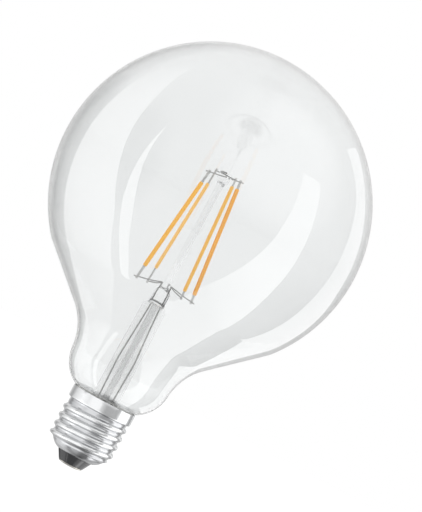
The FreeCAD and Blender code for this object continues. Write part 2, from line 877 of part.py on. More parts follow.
def check_and_write(items):
    """Write one file for each piece once every object of the document is sound."""
    doc.recompute()
    for item in doc.Objects:
        if "Invalid" in item.State or "Error" in item.State:
            raise ValueError("%s failed: %s" % (item.Label, item.State))
    os.makedirs("parts", exist_ok=True)
    for item in items:
        shape = item.Shape
        if shape.isNull() or not shape.isValid() or len(shape.Solids) != 1:
            raise ValueError("%s is not one sound solid" % item.Label)
        if shape.Volume <= 0:
            raise ValueError("%s is inside out" % item.Label)
        shape.exportStep("parts/%s.step" % item.Label)
        print("%-24s %10.3f mm3" % (item.Label, shape.Volume))


def main():
    items = [build_globe(), build_stem(), build_exhaust(), build_pillar()]
    items += build_upper_supports() + build_lower_supports() + build_leads()
    items += build_strips()
    items += [build_shell(), build_insulator(), build_contact(), build_cement()]
    items += build_board() + build_cap_leads()
    check_and_write(items)


main()
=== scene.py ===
import logging
import math
from dataclasses import dataclass, field
from enum import Enum
from typing import Any, Iterable

import bmesh
import bpy
from mathutils import Matrix, Vector


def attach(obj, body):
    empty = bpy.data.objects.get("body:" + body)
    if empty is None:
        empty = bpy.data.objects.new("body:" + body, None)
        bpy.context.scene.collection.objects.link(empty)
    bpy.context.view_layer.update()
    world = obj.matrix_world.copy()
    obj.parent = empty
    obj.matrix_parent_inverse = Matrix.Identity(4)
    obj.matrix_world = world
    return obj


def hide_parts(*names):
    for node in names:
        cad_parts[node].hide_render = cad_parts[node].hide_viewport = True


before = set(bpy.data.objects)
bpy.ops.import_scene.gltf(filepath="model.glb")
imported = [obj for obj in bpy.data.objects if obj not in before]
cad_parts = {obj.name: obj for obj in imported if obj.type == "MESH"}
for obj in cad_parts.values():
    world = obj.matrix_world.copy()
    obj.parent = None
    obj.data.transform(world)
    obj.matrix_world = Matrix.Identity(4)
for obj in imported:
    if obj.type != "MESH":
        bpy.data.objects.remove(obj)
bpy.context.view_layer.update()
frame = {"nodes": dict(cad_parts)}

# The bulb's own sizes are in millimetres and degrees, and the studio's are in metres.
MM = 0.001
# Points of a mesh that are closer than this, in millimetres, are one.
MERGE = 0.0005
LOG = logging.getLogger("globe_bulb")


class Slot(Enum):
    """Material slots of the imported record."""

    CLEAR_GLASS = "clear_glass"
    STEM_GLASS = "stem_glass"
    NICKEL_WIRE = "nickel_wire"
    STRIP_TAB = "strip_tab"
    PHOSPHOR = "phosphor_silicone"
    SHELL = "plated_shell"
    INSULATOR = "black_insulator"
    CONTACT = "plated_contact"


class Wall(Enum):
    """Side of the studio that a panel hangs on."""

    LEFT = "left"
    RIGHT = "right"
    BACK = "back"


class Seen(Enum):
    """What a studio panel shows itself to."""

    GLOSS_ONLY = "gloss"
    LIGHT_AND_GLOSS = "light"


def linear(colour: str) -> tuple[float, float, float, float]:
    """Turn an sRGB hex colour into the linear values that Blender's sockets take.

    Args:
        colour: Six hex digits after a hash sign.

    Returns:
        Linear red, green and blue, and an alpha of one.
    """
    shares = [int(colour[place:place + 2], 16) / 255 for place in (1, 3, 5)]
    turned = [s / 12.92 if s <= 0.04045 else ((s + 0.055) / 1.055) ** 2.4 for s in shares]
    return (turned[0], turned[1], turned[2], 1.0)


def add_node(tree: bpy.types.NodeTree, kind: str, settings: dict[str | int, Any] | None = None,
             links: dict[str | int, bpy.types.NodeSocket] | None = None,
             tones: tuple[tuple[float, str], ...] = ()) -> bpy.types.Node:
    """Add one node with its settings and its links.

    Args:
        tree: Node tree that gets the node.
        kind: Blender's name of the node's type.
        settings: Values by the name of a property or, else, the name or number of an input.
        links: Output sockets by the name or number of the input that they feed.
        tones: Both ends of a colour ramp, as places with their sRGB colours.

    Returns:
        The new node.
    """
    node = tree.nodes.new(kind)
    for name, value in (settings or {}).items():
        if isinstance(name, str) and hasattr(node, name):
            setattr(node, name, value)
        else:
            node.inputs[name].default_value = value
    for name, output in (links or {}).items():
        tree.links.new(output, node.inputs[name])
    for number, (place, colour) in enumerate(tones):
        node.color_ramp.elements[number].position = place
        node.color_ramp.elements[number].color = linear(colour)
    return node


def scaled_object_space(tree: bpy.types.NodeTree, scale: tuple[float, ...],
                        turn: Matrix | None = None) -> bpy.types.NodeSocket:
    """Object coordinates through a Mapping node.

    Args:
        tree: Node tree that gets the nodes.
        scale: Pattern repeats for each metre along the three axes.
        turn: Placement whose own axes the pattern follows, or None.

    Returns:
        The mapped coordinates.
    """
    space = add_node(tree, "ShaderNodeTexCoord").outputs["Object"]
    if turn is not None:
        back = turn.inverted()
        space = add_node(tree, "ShaderNodeMapping", {
            "Location": back.to_translation(), "Rotation": back.to_euler()},
            {"Vector": space}).outputs["Vector"]
    return add_node(tree, "ShaderNodeMapping", {"Scale": scale},
                    {"Vector": space}).outputs["Vector"]


def spots(tree: bpy.types.NodeTree, sizes_mm: tuple[float, ...], detail: float,
          roughness: float = 0.5) -> bpy.types.NodeSocket:
    """Uneven spots of a real size, in object space.

    Args:
        tree: Node tree that gets the nodes.
        sizes_mm: Size of a spot along the three axes.
        detail: Finer layers over the spots.
        roughness: Share that each finer layer keeps.

    Returns:
        The pattern as a value.
    """
    space = scaled_object_space(tree, tuple(1 / (size * MM) for size in sizes_mm))
    return add_node(tree, "ShaderNodeTexNoise", {
        "Scale": 1.0, "Detail": detail, "Roughness": roughness}, {"Vector": space}).outputs["Fac"]


def blank_material(name: str) -> tuple[bpy.types.Material, bpy.types.NodeTree]:
    """Start a material with an empty node tree.

    Args:
        name: Name of the material and of its process.

    Returns:
        The material and its node tree.
    """
    material = bpy.data.materials.new(name)
    material.use_nodes = True
    material.node_tree.nodes.clear()
    return material, material.node_tree


def cover(tree: bpy.types.NodeTree, settings: dict[str | int, Any],
          links: dict[str | int, bpy.types.NodeSocket],
          inside: bpy.types.NodeSocket | None = None) -> None:
    """Put one Principled shader on a material's output.

    Args:
        tree: The material's node tree.
        settings: Values of the shader's own sockets.
        links: Patterns that feed its other sockets.
        inside: What fills the body, or None.
    """
    shader = add_node(tree, "ShaderNodeBsdfPrincipled", settings, links)
    output = add_node(tree, "ShaderNodeOutputMaterial", links={"Surface": shader.outputs["BSDF"]})
    if inside is not None:
        tree.links.new(inside, output.inputs["Volume"])


@dataclass(frozen=True)
class BlownGlass:
    """Clear soda-lime glass, blown in a mould: smooth, with a faint long waviness."""

    name: str = "soda_lime_glass_blown"
    colour: str = "#F6F7F7"
    ior: float = 1.52
    coat: float = 1.0
    absorbed: str = "#C9CCCC"
    density_per_m: float = 11.0
    wave_mm: float = 16.0
    wave_height_mm: float = 0.012
    stretch: float = 1.0

    def make(self) -> bpy.types.Material:
        """Build the glass.

        Returns:
            The finished material.
        """
        material, tree = blank_material(self.name)
        waves = spots(tree, (self.wave_mm, self.wave_mm, self.wave_mm * self.stretch), 1.0, 0.4)
        bump = add_node(tree, "ShaderNodeBump", {
            "Strength": 1.0, "Distance": self.wave_height_mm * MM}, {"Height": waves})
        inside = add_node(tree, "ShaderNodeVolumeAbsorption", {
            "Color": linear(self.absorbed), "Density": self.density_per_m})
        cover(tree, {
            "Base Color": linear(self.colour), "Transmission Weight": 1.0, "Roughness": 0.0,
            "IOR": self.ior, "Coat Weight": self.coat, "Coat Roughness": 0.0},
            {"Normal": bump.outputs["Normal"]}, inside.outputs["Volume"])
        return material


@dataclass(frozen=True)
class DrawnWire:
    """Nickel-plated steel wire, drawn: grey, with lengthwise die marks and dull patches."""

    name: str = "nickel_steel_wire_drawn"
    light: str = "#A6A5A3"
    dark: str = "#787776"
    roughness: float = 0.36
    patch_mm: float = 1.4
    # Real die marks are some 0.02 mm apart: these are drawn coarser, so that they show.
    mark_mm: float = 0.08
    mark_stretch: float = 12.0
    mark_depth_mm: float = 0.01

    def make(self) -> bpy.types.Material:
        """Build the wire's metal.

        Returns:
            The finished material.
        """
        material, tree = blank_material(self.name)
        patches = spots(tree, (self.patch_mm,) * 3, 3.0)
        marks = spots(tree, (self.mark_mm, self.mark_mm, self.mark_mm * self.mark_stretch), 2.0)
        tone = add_node(tree, "ShaderNodeValToRGB", links={"Fac": patches},
                        tones=((0.35, self.dark), (0.62, self.light)))
        rough = add_node(tree, "ShaderNodeMapRange", {
            "To Min": self.roughness - 0.08, "To Max": self.roughness + 0.12}, {"Value": marks})
        bump = add_node(tree, "ShaderNodeBump", {
            "Strength": 0.25, "Distance": self.mark_depth_mm * MM}, {"Height": marks})
        cover(tree, {"Metallic": 1.0}, {
            "Base Color": tone.outputs["Color"], "Roughness": rough.outputs["Result"],
            "Normal": bump.outputs["Normal"]})
        return material


@dataclass(frozen=True)
class PhosphorSilicone:
    """Silicone full of phosphor grain, moulded over a strip of chips: soft yellow, satin."""

    name: str
    colour: str
    pale: str
    placement: Matrix
    length_mm: float
    # Real phosphor grain is some 0.02 mm: it is drawn coarser, so that it shows.
    grain_mm: float = 0.16
    chip_pitch_mm: float = 1.45
    chip_relief: float = 0.35
    relief_mm: float = 0.05
    end_fade_mm: float = 1.1
    end_fade: float = 0.55
    roughness: float = 0.42
    ior: float = 1.41
    specular: float = 0.15
    # The glow is painted light: the coat gives off a faint light of its own colour.
    glow: float = 0.3

    def make(self) -> bpy.types.Material:
        """Build the strip's coat along the strip's own axis.

        Returns:
            The finished material.
        """
        material, tree = blank_material(self.name)
        half = self.length_mm / 2
        grain = spots(tree, (self.grain_mm,) * 3, 2.0)
        along = add_node(tree, "ShaderNodeSeparateXYZ", links={
            "Vector": scaled_object_space(tree, (1 / MM,) * 3, self.placement)}).outputs["Z"]
        phase = add_node(tree, "ShaderNodeMath", {
            "operation": "MULTIPLY", 1: math.tau / self.chip_pitch_mm}, {0: along})
        chips = add_node(tree, "ShaderNodeMath", {"operation": "SINE"}, {0: phase.outputs[0]})
        height = add_node(tree, "ShaderNodeMath", {
            "operation": "MULTIPLY_ADD", 1: self.chip_relief}, {0: chips.outputs[0], 2: grain})
        bump = add_node(tree, "ShaderNodeBump", {
            "Strength": 0.5, "Distance": self.relief_mm * MM}, {"Height": height.outputs[0]})
        centred = add_node(tree, "ShaderNodeMath", {"operation": "SUBTRACT", 1: half}, {0: along})
        from_middle = add_node(tree, "ShaderNodeMath", {"operation": "ABSOLUTE"},
                               {0: centred.outputs[0]})
        fade = add_node(tree, "ShaderNodeMapRange", {
            "From Min": half - self.end_fade_mm, "From Max": half, "To Max": self.end_fade},
            {"Value": from_middle.outputs[0]})
        body = add_node(tree, "ShaderNodeValToRGB", links={"Fac": grain},
                        tones=((0.3, self.colour), (0.8, self.pale)))
        tone = add_node(tree, "ShaderNodeMix", {"data_type": "RGBA", 7: linear(self.pale)}, {
            0: fade.outputs["Result"], 6: body.outputs["Color"]})
        # The emission is the painted glow, in the strip's colour.
        cover(tree, {
            "Roughness": self.roughness, "IOR": self.ior, "Specular IOR Level": self.specular,
            "Emission Color": linear(self.colour), "Emission Strength": self.glow},
            {"Base Color": tone.outputs[2], "Normal": bump.outputs["Normal"]})
        return material


@dataclass(frozen=True)
class PlatedSheet:
    """Nickel-plated sheet, drawn and rolled: bright, with fine marks around the axis."""

    name: str = "nickel_plated_sheet_rolled"
    bright: str = "#CDCECF"
    # The dull tone also paints shade into the thread's roots.
    dull: str = "#B3B4B6"
    root_radius_mm: float = 12.05
    crest_radius_mm: float = 13.2
    # Real drawing marks are some 0.03 mm apart: these are drawn coarser, so that they show.
    line_mm: float = 0.16
    line_length_mm: float = 40.0
    line_height_mm: float = 0.006
    patch_mm: float = 5.0
    patch_share: float = 0.3
    roughness: float = 0.22

    def make(self) -> bpy.types.Material:
        """Build the plated sheet, with painted shade that darkens the thread's roots.

        Returns:
            The finished material.
        """
        material, tree = blank_material(self.name)
        lines = spots(tree, (self.line_length_mm, self.line_length_mm, self.line_mm), 3.0)
        patches = spots(tree, (self.patch_mm,) * 3, 4.0)
        flat = add_node(tree, "ShaderNodeVectorMath", {
            "operation": "MULTIPLY", 1: (1 / MM, 1 / MM, 0.0)},
            {0: add_node(tree, "ShaderNodeTexCoord").outputs["Object"]})
        radius = add_node(tree, "ShaderNodeVectorMath", {"operation": "LENGTH"},
                          {0: flat.outputs[0]})
        # Painted shade: the tone runs from dark in the thread's roots to bright on its crests,
        # over random dull patches.
        raised = add_node(tree, "ShaderNodeMapRange", {
            "From Min": self.root_radius_mm, "From Max": self.crest_radius_mm},
            {"Value": radius.outputs["Value"]})
        patches_and_root_shade = add_node(tree, "ShaderNodeMath", {
            "operation": "MULTIPLY_ADD", 1: self.patch_share},
            {0: patches, 2: raised.outputs["Result"]})
        tone = add_node(tree, "ShaderNodeValToRGB", links={"Fac": patches_and_root_shade.outputs[0]},
                        tones=((0.1, self.dull), (0.65, self.bright)))
        rough = add_node(tree, "ShaderNodeMapRange", {
            "From Min": 0.3, "From Max": 0.75, "To Min": self.roughness - 0.03,
            "To Max": self.roughness + 0.07}, {"Value": patches})
        bump = add_node(tree, "ShaderNodeBump", {
            "Strength": 0.35, "Distance": self.line_height_mm * MM}, {"Height": lines})
        cover(tree, {"Metallic": 1.0}, {
            "Base Color": tone.outputs["Color"], "Roughness": rough.outputs["Result"],
            "Normal": bump.outputs["Normal"]})
        return material


@dataclass(frozen=True)
class PlainFinish:
    """A moulded, cast or coated surface with two near colours, grain and a light relief."""

    name: str
    light: str
    dark: str
    grain_mm: float
    roughness: float
    relief_mm: float
    metallic: float = 0.0
    ior: float | None = None
    coat: float = 0.0
    # A glow is painted light: the surface gives off a faint light of its light colour.
    glow: float = 0.0

    def make(self) -> bpy.types.Material:
        """Build the surface. A metal keeps the shader's own IOR.

        Returns:
            The finished material.
        """
        material, tree = blank_material(self.name)
        grain = spots(tree, (self.grain_mm,) * 3, 4.0)
        tone = add_node(tree, "ShaderNodeValToRGB", links={"Fac": grain},
                        tones=((0.32, self.dark), (0.68, self.light)))
        rough = add_node(tree, "ShaderNodeMapRange", {
            "To Min": self.roughness - 0.06, "To Max": self.roughness + 0.08}, {"Value": grain})
        bump = add_node(tree, "ShaderNodeBump", {
            "Strength": 0.5, "Distance": self.relief_mm * MM}, {"Height": grain})
        settings = {
            "Metallic": self.metallic, "Coat Weight": self.coat,
            "Emission Color": linear(self.light), "Emission Strength": self.glow}
        if self.ior is not None:
            settings["IOR"] = self.ior
        cover(tree, settings, {
            "Base Color": tone.outputs["Color"], "Roughness": rough.outputs["Result"],
            "Normal": bump.outputs["Normal"]})
        return material


def to_object(mesh: bmesh.types.BMesh, name: str,
              material: bpy.types.Material) -> bpy.types.Object:
    """Turn a mesh into an object of the scene.

    Args:
        mesh: The mesh in metres. It is freed.
        name: Name of the object.
        material: Finish of the whole object.

    Returns:
        The object.
    """
    data = bpy.data.meshes.new(name)
    mesh.to_mesh(data)
    mesh.free()
    data.materials.append(material)
    made = bpy.data.objects.new(name, data)
    bpy.context.scene.collection.objects.link(made)
    return made


def finish_piece(mesh: bmesh.types.BMesh, name: str, material: bpy.types.Material,
                 nodes: tuple[str, ...] = (), crease: float = 42.0,
                 outward: bool = True, mirrored: bool = True) -> bpy.types.Object:
    """Turn a mesh drawn in millimetres into a dressed piece of the bulb.

    Args:
        mesh: The piece in millimetres, in the bulb's frame. It is freed.
        name: Name of the piece.
        material: Finish of the whole piece.
        nodes: CAD nodes that the piece stands for.
        crease: Angle in degrees from which an edge shows sharp.
        outward: Whether the faces still have to be turned outwards.
        mirrored: Whether the piece shows in the gloss of others.

    Returns:
        The piece's object.
    """
    bmesh.ops.remove_doubles(mesh, verts=mesh.verts, dist=MERGE)
    if outward:
        bmesh.ops.recalc_face_normals(mesh, faces=mesh.faces)
    bmesh.ops.scale(mesh, vec=(MM, MM, MM), verts=mesh.verts)
    piece = to_object(mesh, name, material)
    piece.data.shade_smooth()
    piece.data.set_sharp_from_angle(angle=math.radians(crease))
    piece.visible_glossy = mirrored
    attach(piece, "root")
    if nodes:
        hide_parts(*nodes)
    LOG.info("%s: %d faces", name, len(piece.data.polygons))
    return piece


class OutlinePen:
    """Draws a half outline in the XZ plane, one stretch after another."""

    def __init__(self, mesh: bmesh.types.BMesh, x: float, z: float) -> None:
        """Put the pen down.

        Args:
            mesh: Mesh that gets the outline.
            x: Distance from the axis.
            z: Height.
        """
        self.mesh = mesh
        self.tip = mesh.verts.new((x, 0.0, z))

    def line(self, x: float, z: float) -> "OutlinePen":
        """Draw straight to a point.

        Args:
            x: Distance of the point from the axis.
            z: Height of the point.

        Returns:
            The pen.
        """
        end = self.mesh.verts.new((x, 0.0, z))
        self.mesh.edges.new((self.tip, end))
        self.tip = end
        return self

    def arc(self, x: float, z: float, degrees: float, steps: int) -> "OutlinePen":
        """Draw an arc about a centre.

        Args:
            x: Distance of the centre from the axis.
            z: Height of the centre.
            degrees: Turn of the pen, anticlockwise with the axis on the left.
            steps: Edges of the arc.

        Returns:
            The pen.
        """
        turned = bmesh.ops.spin(
            self.mesh, geom=[self.tip], cent=(x, 0.0, z), axis=(0.0, -1.0, 0.0),
            dvec=(0.0, 0.0, 0.0), angle=math.radians(degrees), steps=steps,
            use_merge=False, use_normal_flip=False, use_duplicate=False)
        self.tip = [item for item in turned["geom_last"]
                    if isinstance(item, bmesh.types.BMVert)][0]
        return self


def spin_full(mesh: bmesh.types.BMesh, steps: int) -> None:
    """Turn everything that is drawn so far once about the bulb's axis.

    Args:
        mesh: Mesh with the outline.
        steps: Faces around the axis.
    """
    bmesh.ops.spin(
        mesh, geom=mesh.verts[:] + mesh.edges[:], cent=(0.0, 0.0, 0.0), axis=(0.0, 0.0, 1.0),
        dvec=(0.0, 0.0, 0.0), angle=math.tau, steps=steps, use_merge=True,
        use_normal_flip=False, use_duplicate=False)
    bmesh.ops.remove_doubles(mesh, verts=mesh.verts, dist=MERGE)


Ring = tuple[float, float, float]


def round_rings(outline: Iterable[tuple[float, float]]) -> list[Ring]:
    """Rings with two like half axes, from heights and radii."""
    return [(height, radius, radius) for height, radius in outline]


def loft_rings(mesh: bmesh.types.BMesh, rim: list[bmesh.types.BMEdge], rings: list[Ring],
               turn: float = 0.0) -> list[bmesh.types.BMEdge]:
    """Extrude a round rim through a row of rings about the bulb's axis.

    Args:
        mesh: Mesh that gets the skin.
        rim: Edges of the closed rim to start from.
        rings: Height and the two half axes of each ring.
        turn: Direction of the first half axis, in degrees.

    Returns:
        Edges of the last ring.
    """
    axis = Matrix.Rotation(math.radians(turn), 4, "Z")
    for height, long, short in rings:
        grown = bmesh.ops.extrude_edge_only(mesh, edges=rim)["geom"]
        points = [item for item in grown if isinstance(item, bmesh.types.BMVert)]
        rim = [item for item in grown if isinstance(item, bmesh.types.BMEdge)
               and all(end in points for end in item.verts)]
        for point in points:
            local = axis.inverted() @ point.co
            angle = math.atan2(local.y, local.x)
            place = Vector((long * math.cos(angle), short * math.sin(angle), 0.0))
            point.co = axis @ place
            point.co.z = height
    return rim


def close_rim(mesh: bmesh.types.BMesh, rim: list[bmesh.types.BMEdge], height: float) -> None:
    """Close a rim with a fan to a pole on the axis.

    Args:
        mesh: Mesh with the rim.
        rim: Edges of the rim.
        height: Height of the pole.
    """
    grown = bmesh.ops.extrude_edge_only(mesh, edges=rim)["geom"]
    points = [item for item in grown if isinstance(item, bmesh.types.BMVert)]
    bmesh.ops.pointmerge(mesh, verts=points, merge_co=(0.0, 0.0, height))


@dataclass
class Globe:
    """The blown globe with its neck, one wall of glass."""

    length: float = 175.7
    radius: float = 62.0
    wall: float = 0.8
    cone_angle: float = 49.9
    waist_radius: float = 20.7
    waist_height: float = 40.9
    waist_tilt: float = 3.65
    shoulder_radius: float = 14.5
    neck_fillet: float = 1.6
    neck_radius: float = 11.0
    neck_end: float = 20.5
    around: int = 176
    arc_steps: tuple[int, int, int, int] = (78, 18, 20, 8)
    glass: BlownGlass = field(default_factory=BlownGlass)

    def draw_skin(self, mesh: bmesh.types.BMesh, inset: float) -> bmesh.types.BMVert:
        """Draw one skin's half outline from the top down.

        Args:
            mesh: Mesh that gets the outline.
            inset: Distance of the skin from the outside of the glass.

        Returns:
            The outline's last point, at the end of the neck.
        """
        cone, tilt = math.radians(self.cone_angle), math.radians(self.waist_tilt)
        middle = self.length - self.radius
        hollow = ((self.waist_radius * math.cos(cone)
                   + (middle - self.waist_height) * math.sin(cone) - self.radius)
                  / (1 - math.cos(cone - tilt)))
        hollow_x = self.waist_radius + hollow * math.cos(tilt)
        hollow_z = self.waist_height - hollow * math.sin(tilt)
        shoulder_x = self.waist_radius - self.shoulder_radius * math.cos(tilt)
        shoulder_z = self.waist_height + self.shoulder_radius * math.sin(tilt)
        fillet_x = self.neck_radius + self.neck_fillet
        reach = self.shoulder_radius + self.neck_fillet
        drop = math.asin((fillet_x - shoulder_x) / reach)
        fillet_z = shoulder_z - reach * math.cos(drop)
        pen = OutlinePen(mesh, 0.0, self.length - inset)
        # The body, the flank, the shoulder and the neck's fillet run into one another in tangents.
        body, flank, shoulder, fillet = self.arc_steps
        pen.arc(0.0, middle, self.cone_angle - 180, body)
        pen.line(hollow_x - (hollow + inset) * math.cos(cone),
                 hollow_z + (hollow + inset) * math.sin(cone))
        pen.arc(hollow_x, hollow_z, self.cone_angle - self.waist_tilt, flank)
        pen.arc(shoulder_x, shoulder_z, math.degrees(drop) - 90 + self.waist_tilt, shoulder)
        pen.arc(fillet_x, fillet_z, 90 - math.degrees(drop), fillet)
        return pen.line(self.neck_radius - inset, self.neck_end).tip

    def build(self) -> None:
        """Spin both skins of the wall and dress them."""
        mesh = bmesh.new()
        outer = self.draw_skin(mesh, 0.0)
        inner = self.draw_skin(mesh, self.wall)
        mesh.edges.new((outer, inner))
        spin_full(mesh, self.around)
        finish_piece(mesh, "globe_glass", self.glass.make(),
                     ("globe_envelope",), crease=70.0)


@dataclass
class Stem:
    """The inner glass stem: flare, tube, flat press, pillar with its button, and exhaust."""

    neck_end: float = 20.5
    rim_radius: float = 10.15
    flare: float = 4.0
    tube_radius: float = 5.5
    tube_top_radius: float = 4.9
    wall: float = 0.8
    top: float = 70.9
    dome: float = 3.2
    turn: float = 166.0
    exhaust_radius: float = 1.4
    exhaust_wall: float = 0.5
    exhaust_tip: float = 17.9
    exhaust_gap: float = 0.05
    dome_arc: float = 62.0
    press_rings: tuple[Ring, ...] = (
        (70.9, 3.35, 2.2), (71.6, 3.12, 1.7), (72.6, 3.1, 1.6), (74.6, 3.1, 1.6),
        (75.5, 3.02, 1.58), (76.1, 2.75, 1.52), (76.5, 2.2, 1.46), (77.1, 1.6, 1.42))
    pillar_rings: tuple[tuple[float, float], ...] = (
        (78.0, 1.4), (100.0, 1.36), (121.6, 1.4), (122.6, 1.62), (123.0, 2.1), (123.5, 2.45),
        (124.2, 2.6), (126.0, 2.6), (126.7, 2.4), (127.1, 2.0), (127.28, 1.3))
    pillar_top: float = 127.3
    around: int = 56
    exhaust_around: int = 32
    # Drawn lead glass is clearer and shows fine streaks along its length.
    glass: BlownGlass = field(default_factory=lambda: BlownGlass(
        name="lead_glass_drawn", colour="#FAFAFA", ior=1.56, coat=0.0, absorbed="#D2D3D4",
        density_per_m=14.0, wave_mm=2.2, wave_height_mm=0.018, stretch=9.0))

    def draw_tube(self, mesh: bmesh.types.BMesh) -> None:
        """Draw the tube's inner skin down to the rim and its outer skin up to the press.

        Args:
            mesh: Mesh that gets the outline.
        """
        flare_x, flare_z = self.tube_radius + self.flare, self.neck_end + self.flare
        pen = OutlinePen(mesh, 0.0, self.top - self.wall)
        pen.line(self.tube_top_radius - self.dome, self.top - self.wall)
        pen.arc(self.tube_top_radius - self.dome, self.top - self.dome, -90, 8)
        pen.line(self.tube_radius - self.wall, flare_z).arc(flare_x, flare_z, 90, 10)
        pen.line(self.rim_radius, self.neck_end - self.wall)
        pen.line(self.rim_radius, self.neck_end)
        pen.line(flare_x, self.neck_end).arc(flare_x, flare_z, -90, 10)
        pen.line(self.tube_top_radius, self.top - self.dome)
        pen.arc(self.tube_top_radius - self.dome, self.top - self.dome, self.dome_arc, 7)

    def build_stem(self, material: bpy.types.Material) -> None:
        """Spin the tube and draw the press, the pillar and the button out of its top.

        Args:
            material: Glass of the stem.
        """
        mesh = bmesh.new()
        self.draw_tube(mesh)
        spin_full(mesh, self.around)
        rim = [edge for edge in mesh.edges if edge.is_boundary]
        rings = list(self.press_rings) + round_rings(self.pillar_rings)
        close_rim(mesh, loft_rings(mesh, rim, rings, self.turn), self.pillar_top)
        finish_piece(mesh, "stem_and_pillar", material,
                     ("stem_tube", "glass_pillar"), crease=70.0)

    def build_exhaust(self, material: bpy.types.Material) -> None:
        """Spin the exhaust tube with its melted tip.

        Args:
            material: Glass of the stem.
        """
        mesh = bmesh.new()
        bore = self.exhaust_radius - self.exhaust_wall
        top = self.top - self.wall - self.exhaust_gap
        middle = self.exhaust_tip + self.exhaust_radius
        outer = OutlinePen(mesh, 0.0, self.exhaust_tip)
        outer.arc(0.0, middle, 90, 8).line(self.exhaust_radius, top)
        inner = OutlinePen(mesh, 0.0, self.exhaust_tip + self.exhaust_wall)
        inner.arc(0.0, middle, 90, 8).line(bore, top)
        mesh.edges.new((outer.tip, inner.tip))
        spin_full(mesh, self.exhaust_around)
        finish_piece(mesh, "exhaust_glass", material, ("exhaust_tube",),
                     crease=70.0)

    def build(self) -> None:
        """Build and dress the stem's glass."""
        material = self.glass.make()
        self.build_stem(material)
        self.build_exhaust(material)


def polar(radius: float, azimuth: float, height: float) -> Vector:
    """Point at a radius, an azimuth in degrees and a height."""
    angle = math.radians(azimuth)
    return Vector((radius * math.cos(angle), radius * math.sin(angle), height))


@dataclass
class StripCage:
    """The four light-giving strips, leaning in from the lower wires to the button's wires."""

    turn: float = 166.0
    lower_circle: float = 13.5
    upper_circle: float = 7.4
    lower_welds: tuple[float, float] = (76.3, 77.1)
    upper_weld: float = 125.4
    wire_tilt: float = 8.8
    wire_step: float = 0.75
    wire_radius: float = 0.22
    tab_thickness: float = 0.3
    gap: float = 0.01
    reaches: tuple[float, float, float, float] = (4.82, 5.76, 2.61, 2.81)
    width: float = 1.7
    thickness: float = 0.95
    round_edge: float = 0.42
    weld_radius: float = 0.36
    weld_flatness: float = 0.8
    lead_weld_radius: float = 0.44
    lead_circle: float = 2.1
    lead_weld_height: float = 78.5
    # All four strips are one silicone: their different tones are painted light and shade, lighter
    # and deeper copies for how each strip is lit.
    colours: tuple[tuple[str, str], ...] = (
        ("#FFB400", "#FFBE10"), ("#FFC254", "#FFCC70"), ("#F6B424", "#FABE40"),
        ("#F4A408", "#F8AE20"))

    def azimuth(self, index: int) -> float:
        """Direction of a strip: left front, left back, right front, right back."""
        return self.turn + (45, -45, -225, -135)[index]

    def welds(self, index: int) -> tuple[Vector, Vector]:
        """Middle of the lower and of the upper wire where a strip crosses it.

        Args:
            index: Number of the strip, from zero.

        Returns:
            The lower and the upper crossing.
        """
        tilt = self.upper_circle * math.tan(math.radians(self.wire_tilt))
        rise = (-tilt, self.wire_step, self.wire_step, tilt)[index]
        lower = polar(self.lower_circle, self.azimuth(index), self.lower_welds[index // 2])
        upper = polar(self.upper_circle, self.azimuth(index), self.upper_weld + rise)
        return lower, upper

    def placement(self, index: int) -> Matrix:
        """Frame of a strip's coat: its width on X, its face on Y and its length on Z.

        Args:
            index: Number of the strip, from zero.

        Returns:
            Placement of the coat's lower end, in millimetres.
        """
        lower, upper = self.welds(index)
        along = (upper - lower).normalized()
        across = polar(1.0, self.azimuth(index) + 90, 0.0)
        outward = across.cross(along)
        offset = self.tab_thickness / 2 + self.wire_radius + self.gap
        base = lower + across * offset + along * self.reaches[index]
        axes = Matrix((outward, across, along)).transposed().to_4x4()
        return Matrix.Translation(base) @ axes

    def build_strip(self, index: int) -> None:
        """Shape one strip's coat from a bar with round edges.

        Args:
            index: Number of the strip, from zero.
        """
        lower, upper = self.welds(index)
        length = (upper - lower).length - 2 * self.reaches[index]
        frame_of_strip = self.placement(index)
        mesh = bmesh.new()
        bmesh.ops.create_cube(mesh, size=1.0)
        bmesh.ops.scale(mesh, vec=(self.width, self.thickness, length), verts=mesh.verts)
        bmesh.ops.translate(mesh, vec=(0.0, 0.0, length / 2), verts=mesh.verts)
        bmesh.ops.bevel(mesh, geom=mesh.edges[:], offset=self.round_edge, offset_type="OFFSET",
                        segments=6, profile=0.5, affect="EDGES", material=-1)
        bmesh.ops.transform(mesh, matrix=frame_of_strip, verts=mesh.verts)
        colour, pale = self.colours[index]
        in_metres = Matrix.Translation(frame_of_strip.to_translation() * MM) @ (
            frame_of_strip.to_3x3().to_4x4())
        coat = PhosphorSilicone("phosphor_silicone_moulded_%d" % (index + 1), colour, pale,
                                in_metres, length)
        finish_piece(mesh, "strip_%d_coat" % (index + 1), coat.make(),
                     ("filament_%d_bead" % (index + 1),), crease=60.0, mirrored=False)

    def build_weld(self, mesh: bmesh.types.BMesh, place: Vector, radius: float) -> None:
        """Add one melted weld drop.

        Args:
            mesh: Mesh that gets the drop.
            place: Middle of the drop.
            radius: Its radius.
        """
        shape = Matrix.Translation(place) @ Matrix.Diagonal((1.0, 1.0, self.weld_flatness, 1.0))
        bmesh.ops.create_uvsphere(mesh, u_segments=16, v_segments=10, radius=radius,
                                  matrix=shape)

    def build_welds(self, material: bpy.types.Material) -> None:
        """Add the drops where the strips and the leads are welded to the wires.

        Args:
            material: Metal of the drops.
        """
        mesh = bmesh.new()
        for index in range(len(self.colours)):
            across = polar(1.0, self.azimuth(index) + 90, 0.0)
            for crossing in self.welds(index):
                self.build_weld(mesh, crossing + across * self.wire_radius, self.weld_radius)
        for side in (0.0, 180.0):
            place = polar(self.lead_circle, self.turn + side, self.lead_weld_height)
            self.build_weld(mesh, place, self.lead_weld_radius)
        finish_piece(mesh, "weld_drops", material, mirrored=False)

    def build(self, wire: bpy.types.Material) -> None:
        """Build the strips and the drops on the wires.

        Args:
            wire: Metal of the wires.
        """
        for index in range(len(self.colours)):
            self.build_strip(index)
        self.build_welds(wire)


